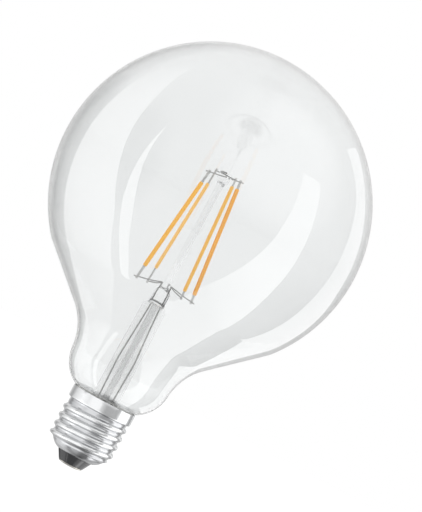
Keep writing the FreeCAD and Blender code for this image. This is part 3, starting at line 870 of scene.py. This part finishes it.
@dataclass
class ScrewCap:
    """The rolled screw shell, the black glass insulator and the centre contact."""

    pitch: float = 3.629
    root: float = 12.05
    crest: float = 13.15
    arc: float = 1.025
    start: float = 8.88
    bottom: float = 7.6
    top: float = 23.4
    turns: int = 6
    run_out: float = 1.3
    run_out_low: float = 0.5
    run_out_high: float = 0.4
    collar: float = 13.2
    collar_rings: tuple[float, ...] = (25.2, 26.4, 27.6)
    collar_top: float = 28.7
    collar_edge: tuple[tuple[float, float], ...] = ((0.16, 0.0), (0.05, 0.04), (0.0, 0.14))
    sheet: float = 0.3
    cone_joint: float = 7.0
    cone_arc: float = 7.0
    cone_height: float = 11.1
    foot: float = 4.5
    foot_edge: tuple[float, float] = (0.12, 0.25)
    lip: float = 6.8
    lip_edge: float = 0.2
    insulator_bottom: float = 0.9
    insulator_bore: float = 1.25
    insulator_top: float = 6.3
    insulator_brim: tuple[float, float] = (6.98, 4.28)
    brim_centre: tuple[float, float] = (6.72, 4.41)
    insulator_seat: tuple[tuple[float, float], ...] = (
        (6.75, 4.5), (6.75, 4.8), (7.15, 4.8), (8.0, 5.65))
    contact_radius: float = 4.85
    contact_flat: float = 1.6
    contact_rise: float = 0.55
    shank: float = 1.2
    shank_bore: float = 0.32
    bore_bottom: float = 1.35
    clinch: float = 1.9
    clinch_height: float = 0.3
    cone_steps: int = 8
    base_around: int = 96
    around: int = 120
    points: int = 18
    # Within these distances turns of the thread meet, a cut finds a point, and trimmed edges meet.
    thread_merge: float = 0.001
    cut_reach: float = 0.0001
    shell_merge: float = 0.002
    metal: PlatedSheet = field(default_factory=PlatedSheet)
    # Pressed black glass is deep and smooth, with a thin sheet of gloss.
    black_glass: PlainFinish = field(default_factory=lambda: PlainFinish(
        "black_glass_pressed", "#1D1E21", "#131416", grain_mm=2.4, roughness=0.16,
        relief_mm=0.01, ior=1.55, coat=0.25))
    # Stamped brass under nickel is a warm, satin grey.
    contact_metal: PlainFinish = field(default_factory=lambda: PlainFinish(
        "nickel_plated_brass_stamped", "#C9C6C0", "#A6A39C", grain_mm=0.9, roughness=0.3,
        relief_mm=0.012, metallic=1.0))

    def wave(self, distance: float) -> float:
        """Height of the rolled form, a row of arcs that are alike at crest and root.

        Args:
            distance: Distance along the cap from the nearest crest.

        Returns:
            The height as a share of the thread's depth.
        """
        depth = self.crest - self.root
        if distance <= self.pitch / 4:
            return 1 - (self.arc - math.sqrt(self.arc ** 2 - distance ** 2)) / depth
        away = max(self.pitch / 2 - distance, 0.0)
        return (self.arc - math.sqrt(self.arc ** 2 - away ** 2)) / depth

    def cone_radius(self, height: float) -> float:
        """Radius of the rounded cone under the thread."""
        below = min(max(self.cone_height - height, 0.0), self.cone_arc)
        return self.root - self.cone_arc + math.sqrt(self.cone_arc ** 2 - below ** 2)

    def draw_thread(self, mesh: bmesh.types.BMesh) -> None:
        """Draw one turn of the wave and screw it upwards, then fade both of its ends.

        Args:
            mesh: Mesh that gets the thread.
        """
        low = self.start - self.pitch * 1.5
        outline = OutlinePen(mesh, -self.root, low)
        for step in range(1, self.points + 1):
            outline.line(-self.root, low + self.pitch * step / self.points)
        bmesh.ops.spin(
            mesh, geom=mesh.verts[:] + mesh.edges[:], cent=(0.0, 0.0, 0.0),
            axis=(0.0, 0.0, 1.0), dvec=(0.0, 0.0, self.pitch / self.around),
            angle=math.tau * self.turns, steps=self.around * self.turns, use_merge=False,
            use_normal_flip=False, use_duplicate=False)
        bmesh.ops.remove_doubles(mesh, verts=mesh.verts, dist=self.thread_merge)
        for point in mesh.verts:
            height = point.co.z
            turned = math.atan2(point.co.y, point.co.x) / math.tau
            phase = (height - self.start) / self.pitch - (turned - 0.5)
            distance = abs(phase - round(phase)) * self.pitch
            share = self.wave(distance)
            # Both ends of the thread run out softly.
            for edge in ((height - self.bottom + self.run_out_low) / self.run_out,
                         (self.top - self.run_out_high - height) / self.run_out):
                near = min(max(edge, 0.0), 1.0)
                share *= near * near * (3 - 2 * near)
            plain = self.cone_radius(height)
            radius = plain + share * (self.crest - plain)
            flat = Vector((point.co.x, point.co.y, 0.0)).normalized() * radius
            point.co = Vector((flat.x, flat.y, height))

    def trim(self, mesh: bmesh.types.BMesh, height: float,
             upward: bool) -> list[bmesh.types.BMEdge]:
        """Cut the thread off at a level.

        Args:
            mesh: Mesh with the thread.
            height: Level of the cut.
            upward: Whether what lies above the level goes.

        Returns:
            Edges of the cut.
        """
        cut = bmesh.ops.bisect_plane(
            mesh, geom=mesh.verts[:] + mesh.edges[:] + mesh.faces[:], dist=self.cut_reach,
            plane_co=(0.0, 0.0, height), plane_no=(0.0, 0.0, 1.0 if upward else -1.0),
            clear_outer=True, clear_inner=False)
        return [item for item in cut["geom_cut"] if isinstance(item, bmesh.types.BMEdge)]

    def build_shell(self) -> bpy.types.Object:
        """Build the shell of one sheet and give it its thickness.

        Returns:
            The shell.
        """
        mesh = bmesh.new()
        self.draw_thread(mesh)
        upper = self.trim(mesh, self.top, True)
        half = (self.collar - self.root) / 2
        angles = [math.radians(15 * step) for step in range(1, 7)]
        collar = [(self.top + half * math.sin(angle), self.root + half * (1 - math.cos(angle)))
                  for angle in angles]
        collar += [(self.top + half * (2 - math.cos(angle)),
                    self.root + half + half * math.sin(angle)) for angle in angles]
        collar += [(height, self.collar) for height in self.collar_rings]
        collar += [(self.collar_top - drop, self.collar - narrower)
                   for drop, narrower in self.collar_edge]
        loft_rings(mesh, upper, round_rings(collar))
        lower = self.trim(mesh, self.cone_joint, False)
        rise, inset = self.foot_edge
        last = self.foot + rise
        heights = [self.cone_joint - (self.cone_joint - last) * step / self.cone_steps
                   for step in range(1, self.cone_steps + 1)]
        cone = [(height, self.cone_radius(height)) for height in heights]
        cone += [(self.foot, self.cone_radius(self.foot) - inset),
                 (self.foot, self.lip + self.lip_edge), (self.foot, self.lip)]
        loft_rings(mesh, lower, round_rings(cone))
        bmesh.ops.remove_doubles(mesh, verts=mesh.verts, dist=self.shell_merge)
        bmesh.ops.recalc_face_normals(mesh, faces=mesh.faces)
        # An open sheet has no outside of its own: a face of the collar tells which way it points.
        on_collar = max(mesh.faces, key=lambda face: face.calc_center_median().z)
        middle = on_collar.calc_center_median()
        if on_collar.normal.dot(Vector((middle.x, middle.y, 0.0))) < 0:
            bmesh.ops.reverse_faces(mesh, faces=mesh.faces)
        bmesh.ops.solidify(mesh, geom=mesh.faces[:], thickness=self.sheet)
        return finish_piece(mesh, "screw_shell_sheet", self.metal.make(),
                            ("screw_shell",), crease=50.0, outward=False)

    def build_insulator(self) -> bpy.types.Object:
        """Spin the black glass that carries the centre contact.

        Returns:
            The insulator.
        """
        mesh = bmesh.new()
        low, high, bore = self.insulator_bottom, self.insulator_top, self.insulator_bore
        pen = OutlinePen(mesh, bore, high)
        first = pen.tip
        pen.line(bore, low + 0.05).line(bore + 0.05, low).line(self.contact_radius, low)
        pen.arc(self.contact_radius, low + 0.3, 65, 5)
        pen.line(*self.insulator_brim).arc(*self.brim_centre, 90, 4)
        for x, z in self.insulator_seat:
            pen.line(x, z)
        pen.line(self.insulator_seat[-1][0], high)
        mesh.edges.new((pen.tip, first))
        spin_full(mesh, self.base_around)
        return finish_piece(mesh, "insulator_glass", self.black_glass.make(),
                            ("insulator",), crease=40.0)

    def build_contact(self) -> bpy.types.Object:
        """Spin the domed centre contact with its clinched shank.

        Returns:
            The contact.
        """
        mesh = bmesh.new()
        low, high = self.insulator_bottom, self.insulator_top
        reach = self.contact_radius - self.contact_flat
        dome = (reach ** 2 + self.contact_rise ** 2) / (2 * self.contact_rise)
        pen = OutlinePen(mesh, 0.0, 0.0).line(self.contact_flat, 0.0)
        pen.arc(self.contact_flat, dome, math.degrees(math.asin(reach / dome)), 10)
        pen.line(self.contact_radius, low - 0.06).line(self.contact_radius - 0.07, low)
        pen.line(self.shank, low).line(self.shank, high)
        end = high + self.clinch_height
        pen.line(self.clinch, high).line(self.clinch, end - 0.08).line(self.clinch - 0.15, end)
        pen.line(self.shank_bore, end).line(self.shank_bore, self.bore_bottom)
        pen.line(0.0, self.bore_bottom)
        spin_full(mesh, self.base_around)
        return finish_piece(mesh, "centre_contact_disc", self.contact_metal.make(),
                            ("centre_contact",), crease=30.0)

    def build(self) -> list[bpy.types.Object]:
        """Build and dress the cap and return its pieces."""
        return [self.build_shell(), self.build_insulator(), self.build_contact()]


@dataclass
class FrameFinishes:
    """Finishes of the CAD nodes that keep their own shape."""

    nodes: dict[str, bpy.types.Object]

    def dress(self, names: list[str], material: bpy.types.Material,
              mirrored: bool = True) -> None:
        """Put one material on the slots of some CAD nodes.

        Args:
            names: Names of the nodes.
            material: The finish.
            mirrored: Whether the nodes show in the gloss of others.
        """
        for name in names:
            self.nodes[name].visible_glossy = mirrored
            for slot in self.nodes[name].material_slots:
                slot.material = material
            LOG.info("%s: dressed", name)

    def build(self, wire: bpy.types.Material) -> None:
        """Dress the wires, the tabs, the cement and the driver.

        Args:
            wire: Metal of the wires.
        """
        self.dress([name for name in self.nodes if "support" in name or "lead" in name], wire,
                   mirrored=False)
        # Stamped strip is pale, with the grain of its rolling.
        tab = PlainFinish("nickel_iron_strip_stamped", "#D2D1CF", "#A8A7A5", grain_mm=0.7,
                          roughness=0.32, relief_mm=0.01, metallic=1.0)
        self.dress([name for name in self.nodes if name.endswith("_tab")], tab.make(),
                   mirrored=False)
        single = {
            # Baked cement is chalky and matt. Its glow stands for light scattered in the neck.
            "capping_cement": PlainFinish(
                "capping_cement_baked", "#E6E5E2", "#D6D5D1", grain_mm=0.5, roughness=0.8,
                relief_mm=0.06, glow=0.4),
            # A laminate of glass and epoxy is pale and even.
            "driver_board": PlainFinish(
                "glass_epoxy_laminate", "#E4E6DC", "#D3D8CB", grain_mm=0.6, roughness=0.42,
                relief_mm=0.01),
            # Moulded epoxy is black and satin.
            "bridge_rectifier": PlainFinish(
                "epoxy_package_moulded", "#2A2A2C", "#1C1C1E", grain_mm=0.2, roughness=0.55,
                relief_mm=0.01),
            "driver_chip": PlainFinish(
                "epoxy_package_moulded_fine", "#252527", "#19191B", grain_mm=0.15,
                roughness=0.5, relief_mm=0.01),
            # A shrunk vinyl sleeve is smooth and glossy.
            "smoothing_capacitor": PlainFinish(
                "vinyl_sleeve_shrunk", "#2C3038", "#20242B", grain_mm=1.2, roughness=0.24,
                relief_mm=0.01),
            # Dipped lacquer is even, with a soft gloss.
            "surge_resistor": PlainFinish(
                "lacquer_dipped", "#6E8DA3", "#57758B", grain_mm=0.8, roughness=0.4,
                relief_mm=0.02)}
        for name, surface in single.items():
            self.dress([name], surface.make())


Run = list[tuple[float, float]]


def flowing(points: Run, steps: int = 8) -> Run:
    """Lead one soft curve through a row of points.

    Args:
        points: The points.
        steps: Stretches between two points.

    Returns:
        The points of the curve.
    """
    ends = [points[0]] + points + [points[-1]]
    curve = []
    for corners in zip(ends, ends[1:], ends[2:], ends[3:]):
        for share in (step / steps for step in range(steps)):
            place = [b + (c - a) * share / 2 + (2 * a - 5 * b + 4 * c - d) * share ** 2 / 2
                     + (3 * b - a - 3 * c + d) * share ** 3 / 2 for a, b, c, d in zip(*corners)]
            curve.append((place[0], place[1]))
    return curve + [points[-1]]


def straight_ray(tree: bpy.types.NodeTree) -> bpy.types.NodeSocket:
    """One for what the camera sees straight or through glass, and zero for the rest.

    Args:
        tree: Node tree that gets the nodes.

    Returns:
        The number as a socket.
    """
    path = add_node(tree, "ShaderNodeLightPath")
    return add_node(tree, "ShaderNodeMath", {"operation": "MAXIMUM"}, {
        0: path.outputs["Is Camera Ray"], 1: path.outputs["Is Transmission Ray"]}).outputs[0]


@dataclass(frozen=True)
class Shade:
    """A brighter or darker side of the grey room that gloss mirrors.

    The change comes in from the outer to the inner cosine of the angle to its direction.
    """

    towards: tuple[float, float, float]
    outer: float
    inner: float
    change: float


@dataclass(frozen=True)
class Panel:
    """A soft panel between two edges, which shows only in gloss and as light.

    Its edges are shares of the wall's distance: towards the camera, or to the right on the back
    wall, and up from the globe's middle. Its radiance goes from the first strength to the
    second, where one is the backdrop's white.
    """

    name: str
    wall: Wall
    seen: Seen
    strength: tuple[float, float]
    front: Run
    back: Run
    on_shell: bool = False


@dataclass(frozen=True)
class CapLamp:
    """A soft lamp whose cloth shows in the cap alone.

    Its azimuth runs in degrees from the camera's side to the right. Its distance from the axis,
    its height and its size are in metres, and a radiance of one is the backdrop's white.
    """

    name: str
    azimuth: float
    distance: float
    height: float
    size: tuple[float, float]
    radiance: float
    on_insulator: bool = False


@dataclass
class Studio:
    """Pale floor, white backdrop, soft panels and the lamps of a plain product studio."""

    grey: float = 0.6
    shades: tuple[Shade, ...] = (
        Shade((0.45, -0.45, 0.77), 0.55, 0.97, 0.75),
        Shade((0.0, 0.6, 0.8), 0.45, 0.9, 0.2),
        Shade((-0.77, 0.64, 0.0), 0.9, 0.985, -0.45),
        Shade((-0.97, -0.25, 0.0), 0.75, 0.99, -0.6),
        Shade((-0.45, 0.82, 0.35), 0.93, 0.99, -0.2),
        Shade((-0.52, 0.73, -0.44), 0.925, 0.985, -0.4),
        Shade((0.62, 0.2, -0.76), 0.6, 0.95, -0.5))
    darkest: float = 0.1
    diffuse: float = 0.72
    floor_height: float = -0.2
    floor_radius: float = 6.0
    floor_shade: float = 0.28
    floor_glow: float = 1.25
    distance: float = 0.9
    middle: float = 0.1137
    # Axis, start and end in metres along which a panel's radiance changes.
    depth_fade: tuple[str, float, float] = ("Y", -0.2, 0.7)
    height_fade: tuple[str, float, float] = ("Z", -1.8, -0.4)
    panels: tuple[Panel, ...] = (
        Panel("left_softbox", Wall.LEFT, Seen.LIGHT_AND_GLOSS, (1.5, 0.8),
              [(-1.4, 2.2), (-0.25, 1.0), (0.1, 0.5), (0.4, -0.3), (0.4, -0.9), (-0.15, -2.1),
               (-1.05, -3.0)],
              [(-1.85, 1.7), (-1.1, 1.1), (-0.65, 0.6), (-0.55, -0.1), (-0.9, -0.75),
               (-1.25, -1.1), (-2.15, -1.4)], on_shell=True),
        Panel("left_strip_light", Wall.LEFT, Seen.GLOSS_ONLY, (1.7, 1.7),
              [(0.6, 0.65), (0.7, 0.15), (0.85, -0.6), (0.8, -1.25), (0.65, -2.05),
               (0.15, -3.3)],
              [(0.6, 0.65), (0.6, 0.0), (0.55, -1.0), (0.4, -1.65), (0.0, -2.7)]),
        Panel("right_strip_light", Wall.RIGHT, Seen.LIGHT_AND_GLOSS, (1.2, 1.95),
              [(0.5, 1.05), (0.7, 0.4), (0.85, -0.15), (1.1, -0.95), (1.4, -2.1), (1.5, -3.5),
               (1.6, -14.0)],
              [(0.15, 0.8), (0.25, 0.3), (0.25, -0.25), (0.1, -0.8), (-0.4, -1.6),
               (-1.1, -2.25), (-2.3, -3.4), (-8.0, -14.0)]),
        Panel("back_edge_light", Wall.BACK, Seen.GLOSS_ONLY, (1.15, 1.15),
              [(0.9, 1.1), (1.3, 0.75), (1.8, 0.4), (2.05, -0.15), (1.95, -0.75),
               (1.3, -1.6)],
              [(0.5, 0.6), (0.75, 0.4), (0.8, -0.05), (0.6, -0.2), (0.35, -0.55)]))
    key_place: tuple[float, float, float] = (-1.0, -1.2, 0.9)
    key_size: tuple[float, float] = (1.2, 1.2)
    key_radiance: float = 1.6
    lamp_aim: float = 0.01
    cap_lamps: tuple[CapLamp, ...] = (
        CapLamp("cap_left_lamp", -34.0, 0.5, -0.1, (0.76, 1.5), 0.95),
        CapLamp("cap_mid_left_lamp", -61.0, 0.6, -0.1, (0.24, 1.5), 0.45),
        CapLamp("cap_fade_lamp", 8.0, 0.5, -0.1, (0.1, 1.5), 0.3),
        CapLamp("cap_dim_lamp", 63.0, 0.6, -0.1, (0.32, 1.5), 0.6),
        CapLamp("cap_edge_lamp", 136.0, 0.6, -0.1, (0.6, 1.5), 0.5),
        CapLamp("cap_back_lamp", -142.0, 0.6, -0.1, (0.5, 1.5), 0.4),
        CapLamp("cap_under_left_lamp", -80.0, 0.5, -0.35, (0.5, 0.5), 0.6),
        CapLamp("cap_under_lamp", 45.0, 0.3, -0.5, (0.9, 0.9), 0.2),
        CapLamp("cap_right_lamp", 96.0, 0.6, -0.1, (0.56, 1.5), 1.5, on_insulator=True))

    def mirrored_level(self, tree: bpy.types.NodeTree) -> bpy.types.NodeSocket:
        """Radiance of the grey room that gloss mirrors, by direction.

        Args:
            tree: Node tree of the world.

        Returns:
            The radiance as a socket.
        """
        changes = []
        for shade in self.shades:
            side = add_node(tree, "ShaderNodeVectorMath", {
                "operation": "DOT_PRODUCT", 1: shade.towards},
                {0: add_node(tree, "ShaderNodeTexCoord").outputs["Generated"]})
            changes.append(add_node(tree, "ShaderNodeMapRange", {
                "From Min": shade.outer, "From Max": shade.inner, "To Max": shade.change,
                "interpolation_type": "SMOOTHSTEP"}, {"Value": side.outputs["Value"]}))
        level = add_node(tree, "ShaderNodeMath", {"operation": "ADD", 1: self.grey},
                         {0: changes[0].outputs["Result"]})
        for change in changes[1:]:
            level = add_node(tree, "ShaderNodeMath", {"operation": "ADD"}, {
                0: level.outputs[0], 1: change.outputs["Result"]})
        return add_node(tree, "ShaderNodeMath", {"operation": "MAXIMUM", 1: self.darkest},
                        {0: level.outputs[0]}).outputs[0]

    def build_world(self) -> None:
        """White for what looks or passes through, a grey studio for what is mirrored."""
        world = bpy.data.worlds.new("studio")
        bpy.context.scene.world = world
        world.use_nodes = True
        tree = world.node_tree
        tree.nodes.clear()
        around = add_node(tree, "ShaderNodeMix", {"data_type": "FLOAT", 2: self.diffuse}, {
            0: add_node(tree, "ShaderNodeLightPath").outputs["Is Glossy Ray"],
            3: self.mirrored_level(tree)})
        level = add_node(tree, "ShaderNodeMix", {"data_type": "FLOAT", 3: 1.0}, {
            0: straight_ray(tree), 2: around.outputs[0]})
        light = add_node(tree, "ShaderNodeBackground", {"Color": linear("#FFFFFF")},
                         {"Strength": level.outputs[0]})
        add_node(tree, "ShaderNodeOutputWorld", links={"Surface": light.outputs[0]})

    def build_floor(self) -> None:
        """Lay a pale floor that shows as the backdrop's white but keeps a soft shadow."""
        mesh = bmesh.new()
        bmesh.ops.create_circle(mesh, cap_ends=True, segments=96, radius=self.floor_radius)
        bmesh.ops.translate(mesh, vec=(0.0, 0.0, self.floor_height), verts=mesh.verts)
        material, tree = blank_material("floor_paper_white")
        fibre = add_node(tree, "ShaderNodeTexNoise", {"Scale": 40.0, "Detail": 3.0}, {
            "Vector": add_node(tree, "ShaderNodeTexCoord").outputs["Object"]})
        tone = add_node(tree, "ShaderNodeValToRGB", links={"Fac": fibre.outputs["Fac"]},
                        tones=((0.0, "#EDEDED"), (1.0, "#F2F2F2")))
        paper = add_node(tree, "ShaderNodeBsdfDiffuse", links={"Color": tone.outputs["Color"]})
        glow = add_node(tree, "ShaderNodeEmission", {
            "Color": linear("#FFFFFF"), "Strength": self.floor_glow})
        lifted = add_node(tree, "ShaderNodeMixShader", {"Fac": self.floor_shade}, {
            1: glow.outputs[0], 2: paper.outputs[0]})
        seen = add_node(tree, "ShaderNodeMixShader", links={
            "Fac": straight_ray(tree), 1: paper.outputs[0], 2: lifted.outputs[0]})
        add_node(tree, "ShaderNodeOutputMaterial", links={"Surface": seen.outputs[0]})
        floor = to_object(mesh, "floor", material)
        floor.visible_glossy = False
        floor.visible_shadow = False

    def panel_cloth(self, panel: Panel) -> bpy.types.Material:
        """White cloth lit from behind, whose radiance changes along one axis.

        Args:
            panel: The panel.

        Returns:
            The cloth's material.
        """
        material, tree = blank_material(panel.name + "_cloth")
        place = add_node(tree, "ShaderNodeSeparateXYZ", links={
            "Vector": add_node(tree, "ShaderNodeTexCoord").outputs["Object"]})
        axis, start, end = self.height_fade if panel.wall is Wall.RIGHT else self.depth_fade
        level = add_node(tree, "ShaderNodeMapRange", {
            "From Min": start, "From Max": end, "To Min": panel.strength[0],
            "To Max": panel.strength[1]}, {"Value": place.outputs[axis]})
        glow = add_node(tree, "ShaderNodeEmission", {"Color": linear("#FFFFFF")},
                        {"Strength": level.outputs["Result"]})
        add_node(tree, "ShaderNodeOutputMaterial", links={"Surface": glow.outputs[0]})
        return material

    def build_panel(self, panel: Panel, spared: bpy.types.Collection) -> None:
        """Hang one soft panel.

        Args:
            panel: The panel.
            spared: Collection that keeps a panel's light off the shell.
        """
        reach = self.distance
        mesh = bmesh.new()
        outline = []
        for along, up in flowing(panel.front) + flowing(panel.back[::-1]):
            place = {Wall.LEFT: (-reach, -along * reach), Wall.RIGHT: (reach, -along * reach),
                     Wall.BACK: (along * reach, reach)}[panel.wall]
            outline.append(mesh.verts.new(place + (self.middle + up * reach,)))
        mesh.faces.new(outline)
        mesh.normal_update()
        bmesh.ops.triangulate(mesh, faces=mesh.faces)
        hung = to_object(mesh, panel.name, self.panel_cloth(panel))
        hung.visible_camera = False
        hung.visible_transmission = False
        hung.visible_shadow = False
        hung.visible_diffuse = panel.seen is Seen.LIGHT_AND_GLOSS
        if not panel.on_shell:
            hung.light_linking.receiver_collection = spared

    def build_panels(self, shell: bpy.types.Object) -> None:
        """Hang all panels. Most of them neither light the shell nor show in it.

        Args:
            shell: The screw shell.
        """
        spared = bpy.data.collections.new("shell_spared_by_panels")
        spared.objects.link(shell)
        spared.collection_objects[0].light_linking.link_state = "EXCLUDE"
        for panel in self.panels:
            self.build_panel(panel, spared)

    def build_lamp(self, name: str, place: tuple[float, float, float],
                   size: tuple[float, float], radiance: float) -> bpy.types.Object:
        """Hang a large soft lamp that looks at the foot of the bulb.

        Args:
            name: Name of the lamp.
            place: Where it hangs, in metres.
            size: Width and height of its cloth, in metres.
            radiance: Brightness of the cloth, where one is the backdrop's white.

        Returns:
            The lamp's object.
        """
        data = bpy.data.lights.new(name, "AREA")
        data.shape = "RECTANGLE"
        data.size, data.size_y = size
        data.energy = radiance * math.pi * size[0] * size[1]
        lamp = bpy.data.objects.new(name, data)
        lamp.location = place
        aim = Vector((0.0, 0.0, self.lamp_aim)) - Vector(place)
        lamp.rotation_euler = aim.to_track_quat("-Z", "Y").to_euler()
        lamp.visible_camera = False
        lamp.visible_glossy = False
        lamp.visible_transmission = False
        bpy.context.scene.collection.objects.link(lamp)
        return lamp

    def build_cap_lamps(self, cap: list[bpy.types.Object]) -> None:
        """Hang the lamps whose cloth shows in the cap alone.

        Args:
            cap: Pieces of the cap, the shell first. Most lamps show in the shell alone.
        """
        for card in self.cap_lamps:
            lit = bpy.data.collections.new(card.name + "_receivers")
            for piece in cap if card.on_insulator else cap[:1]:
                lit.objects.link(piece)
            angle = math.radians(card.azimuth)
            place = (card.distance * math.sin(angle), -card.distance * math.cos(angle),
                     card.height)
            lamp = self.build_lamp(card.name, place, card.size, card.radiance)
            lamp.visible_glossy = True
            lamp.light_linking.receiver_collection = lit

    def build(self, cap: list[bpy.types.Object]) -> None:
        """Set up the whole studio.

        Args:
            cap: Pieces of the cap, the shell first, which have lamps of their own.
        """
        self.build_world()
        self.build_floor()
        self.build_panels(cap[0])
        self.build_lamp("key_lamp", self.key_place, self.key_size, self.key_radiance)
        self.build_cap_lamps(cap)


@dataclass
class PhotoCamera:
    """Camera at the photograph's angle, rolled so that the bulb leans to the right."""

    lean: float = 61.7
    mm_per_pixel: float = 0.382
    image: tuple[int, int] = (422, 512)
    globe_pixel: tuple[float, float] = (210.28, 203.96)
    globe_middle: float = 113.7
    distance: float = 1.4
    sensor: float = 36.0

    def build(self) -> None:
        """Create the camera and make it the scene's own."""
        lean = math.radians(self.lean)
        right = Vector((math.sin(lean), 0.0, math.cos(lean)))
        upward = Vector((-math.cos(lean), 0.0, math.sin(lean)))
        back = Vector((0.0, -1.0, 0.0))
        shift_x = (self.image[0] / 2 - self.globe_pixel[0]) * self.mm_per_pixel * MM
        shift_y = (self.image[1] / 2 - self.globe_pixel[1]) * self.mm_per_pixel * MM
        aim = Vector((0.0, 0.0, self.globe_middle * MM)) + right * shift_x - upward * shift_y
        data = bpy.data.cameras.new("camera")
        data.sensor_fit = "VERTICAL"
        data.sensor_height = self.sensor
        data.sensor_width = self.sensor
        tall = self.image[1] * self.mm_per_pixel * MM
        data.lens = self.sensor * self.distance / tall
        data.clip_start, data.clip_end = 0.05, 50.0
        camera = bpy.data.objects.new("camera", data)
        bpy.context.scene.collection.objects.link(camera)
        turned = Matrix((right, upward, back)).transposed().to_4x4()
        camera.matrix_world = Matrix.Translation(aim + back * self.distance) @ turned
        bpy.context.scene.camera = camera


def set_view() -> None:
    """Show colours as they are written."""
    bpy.context.scene.view_settings.view_transform = "Standard"


def main() -> None:
    """Build the bulb's looks and the studio around them."""
    logging.basicConfig(level=logging.INFO, format="%(name)s %(message)s")
    set_view()
    Globe().build()
    Stem().build()
    wire = DrawnWire().make()
    StripCage().build(wire)
    cap = ScrewCap().build()
    FrameFinishes(frame["nodes"]).build(wire)
    Studio().build(cap)
    PhotoCamera().build()


if __name__ == "__main__":
    main()
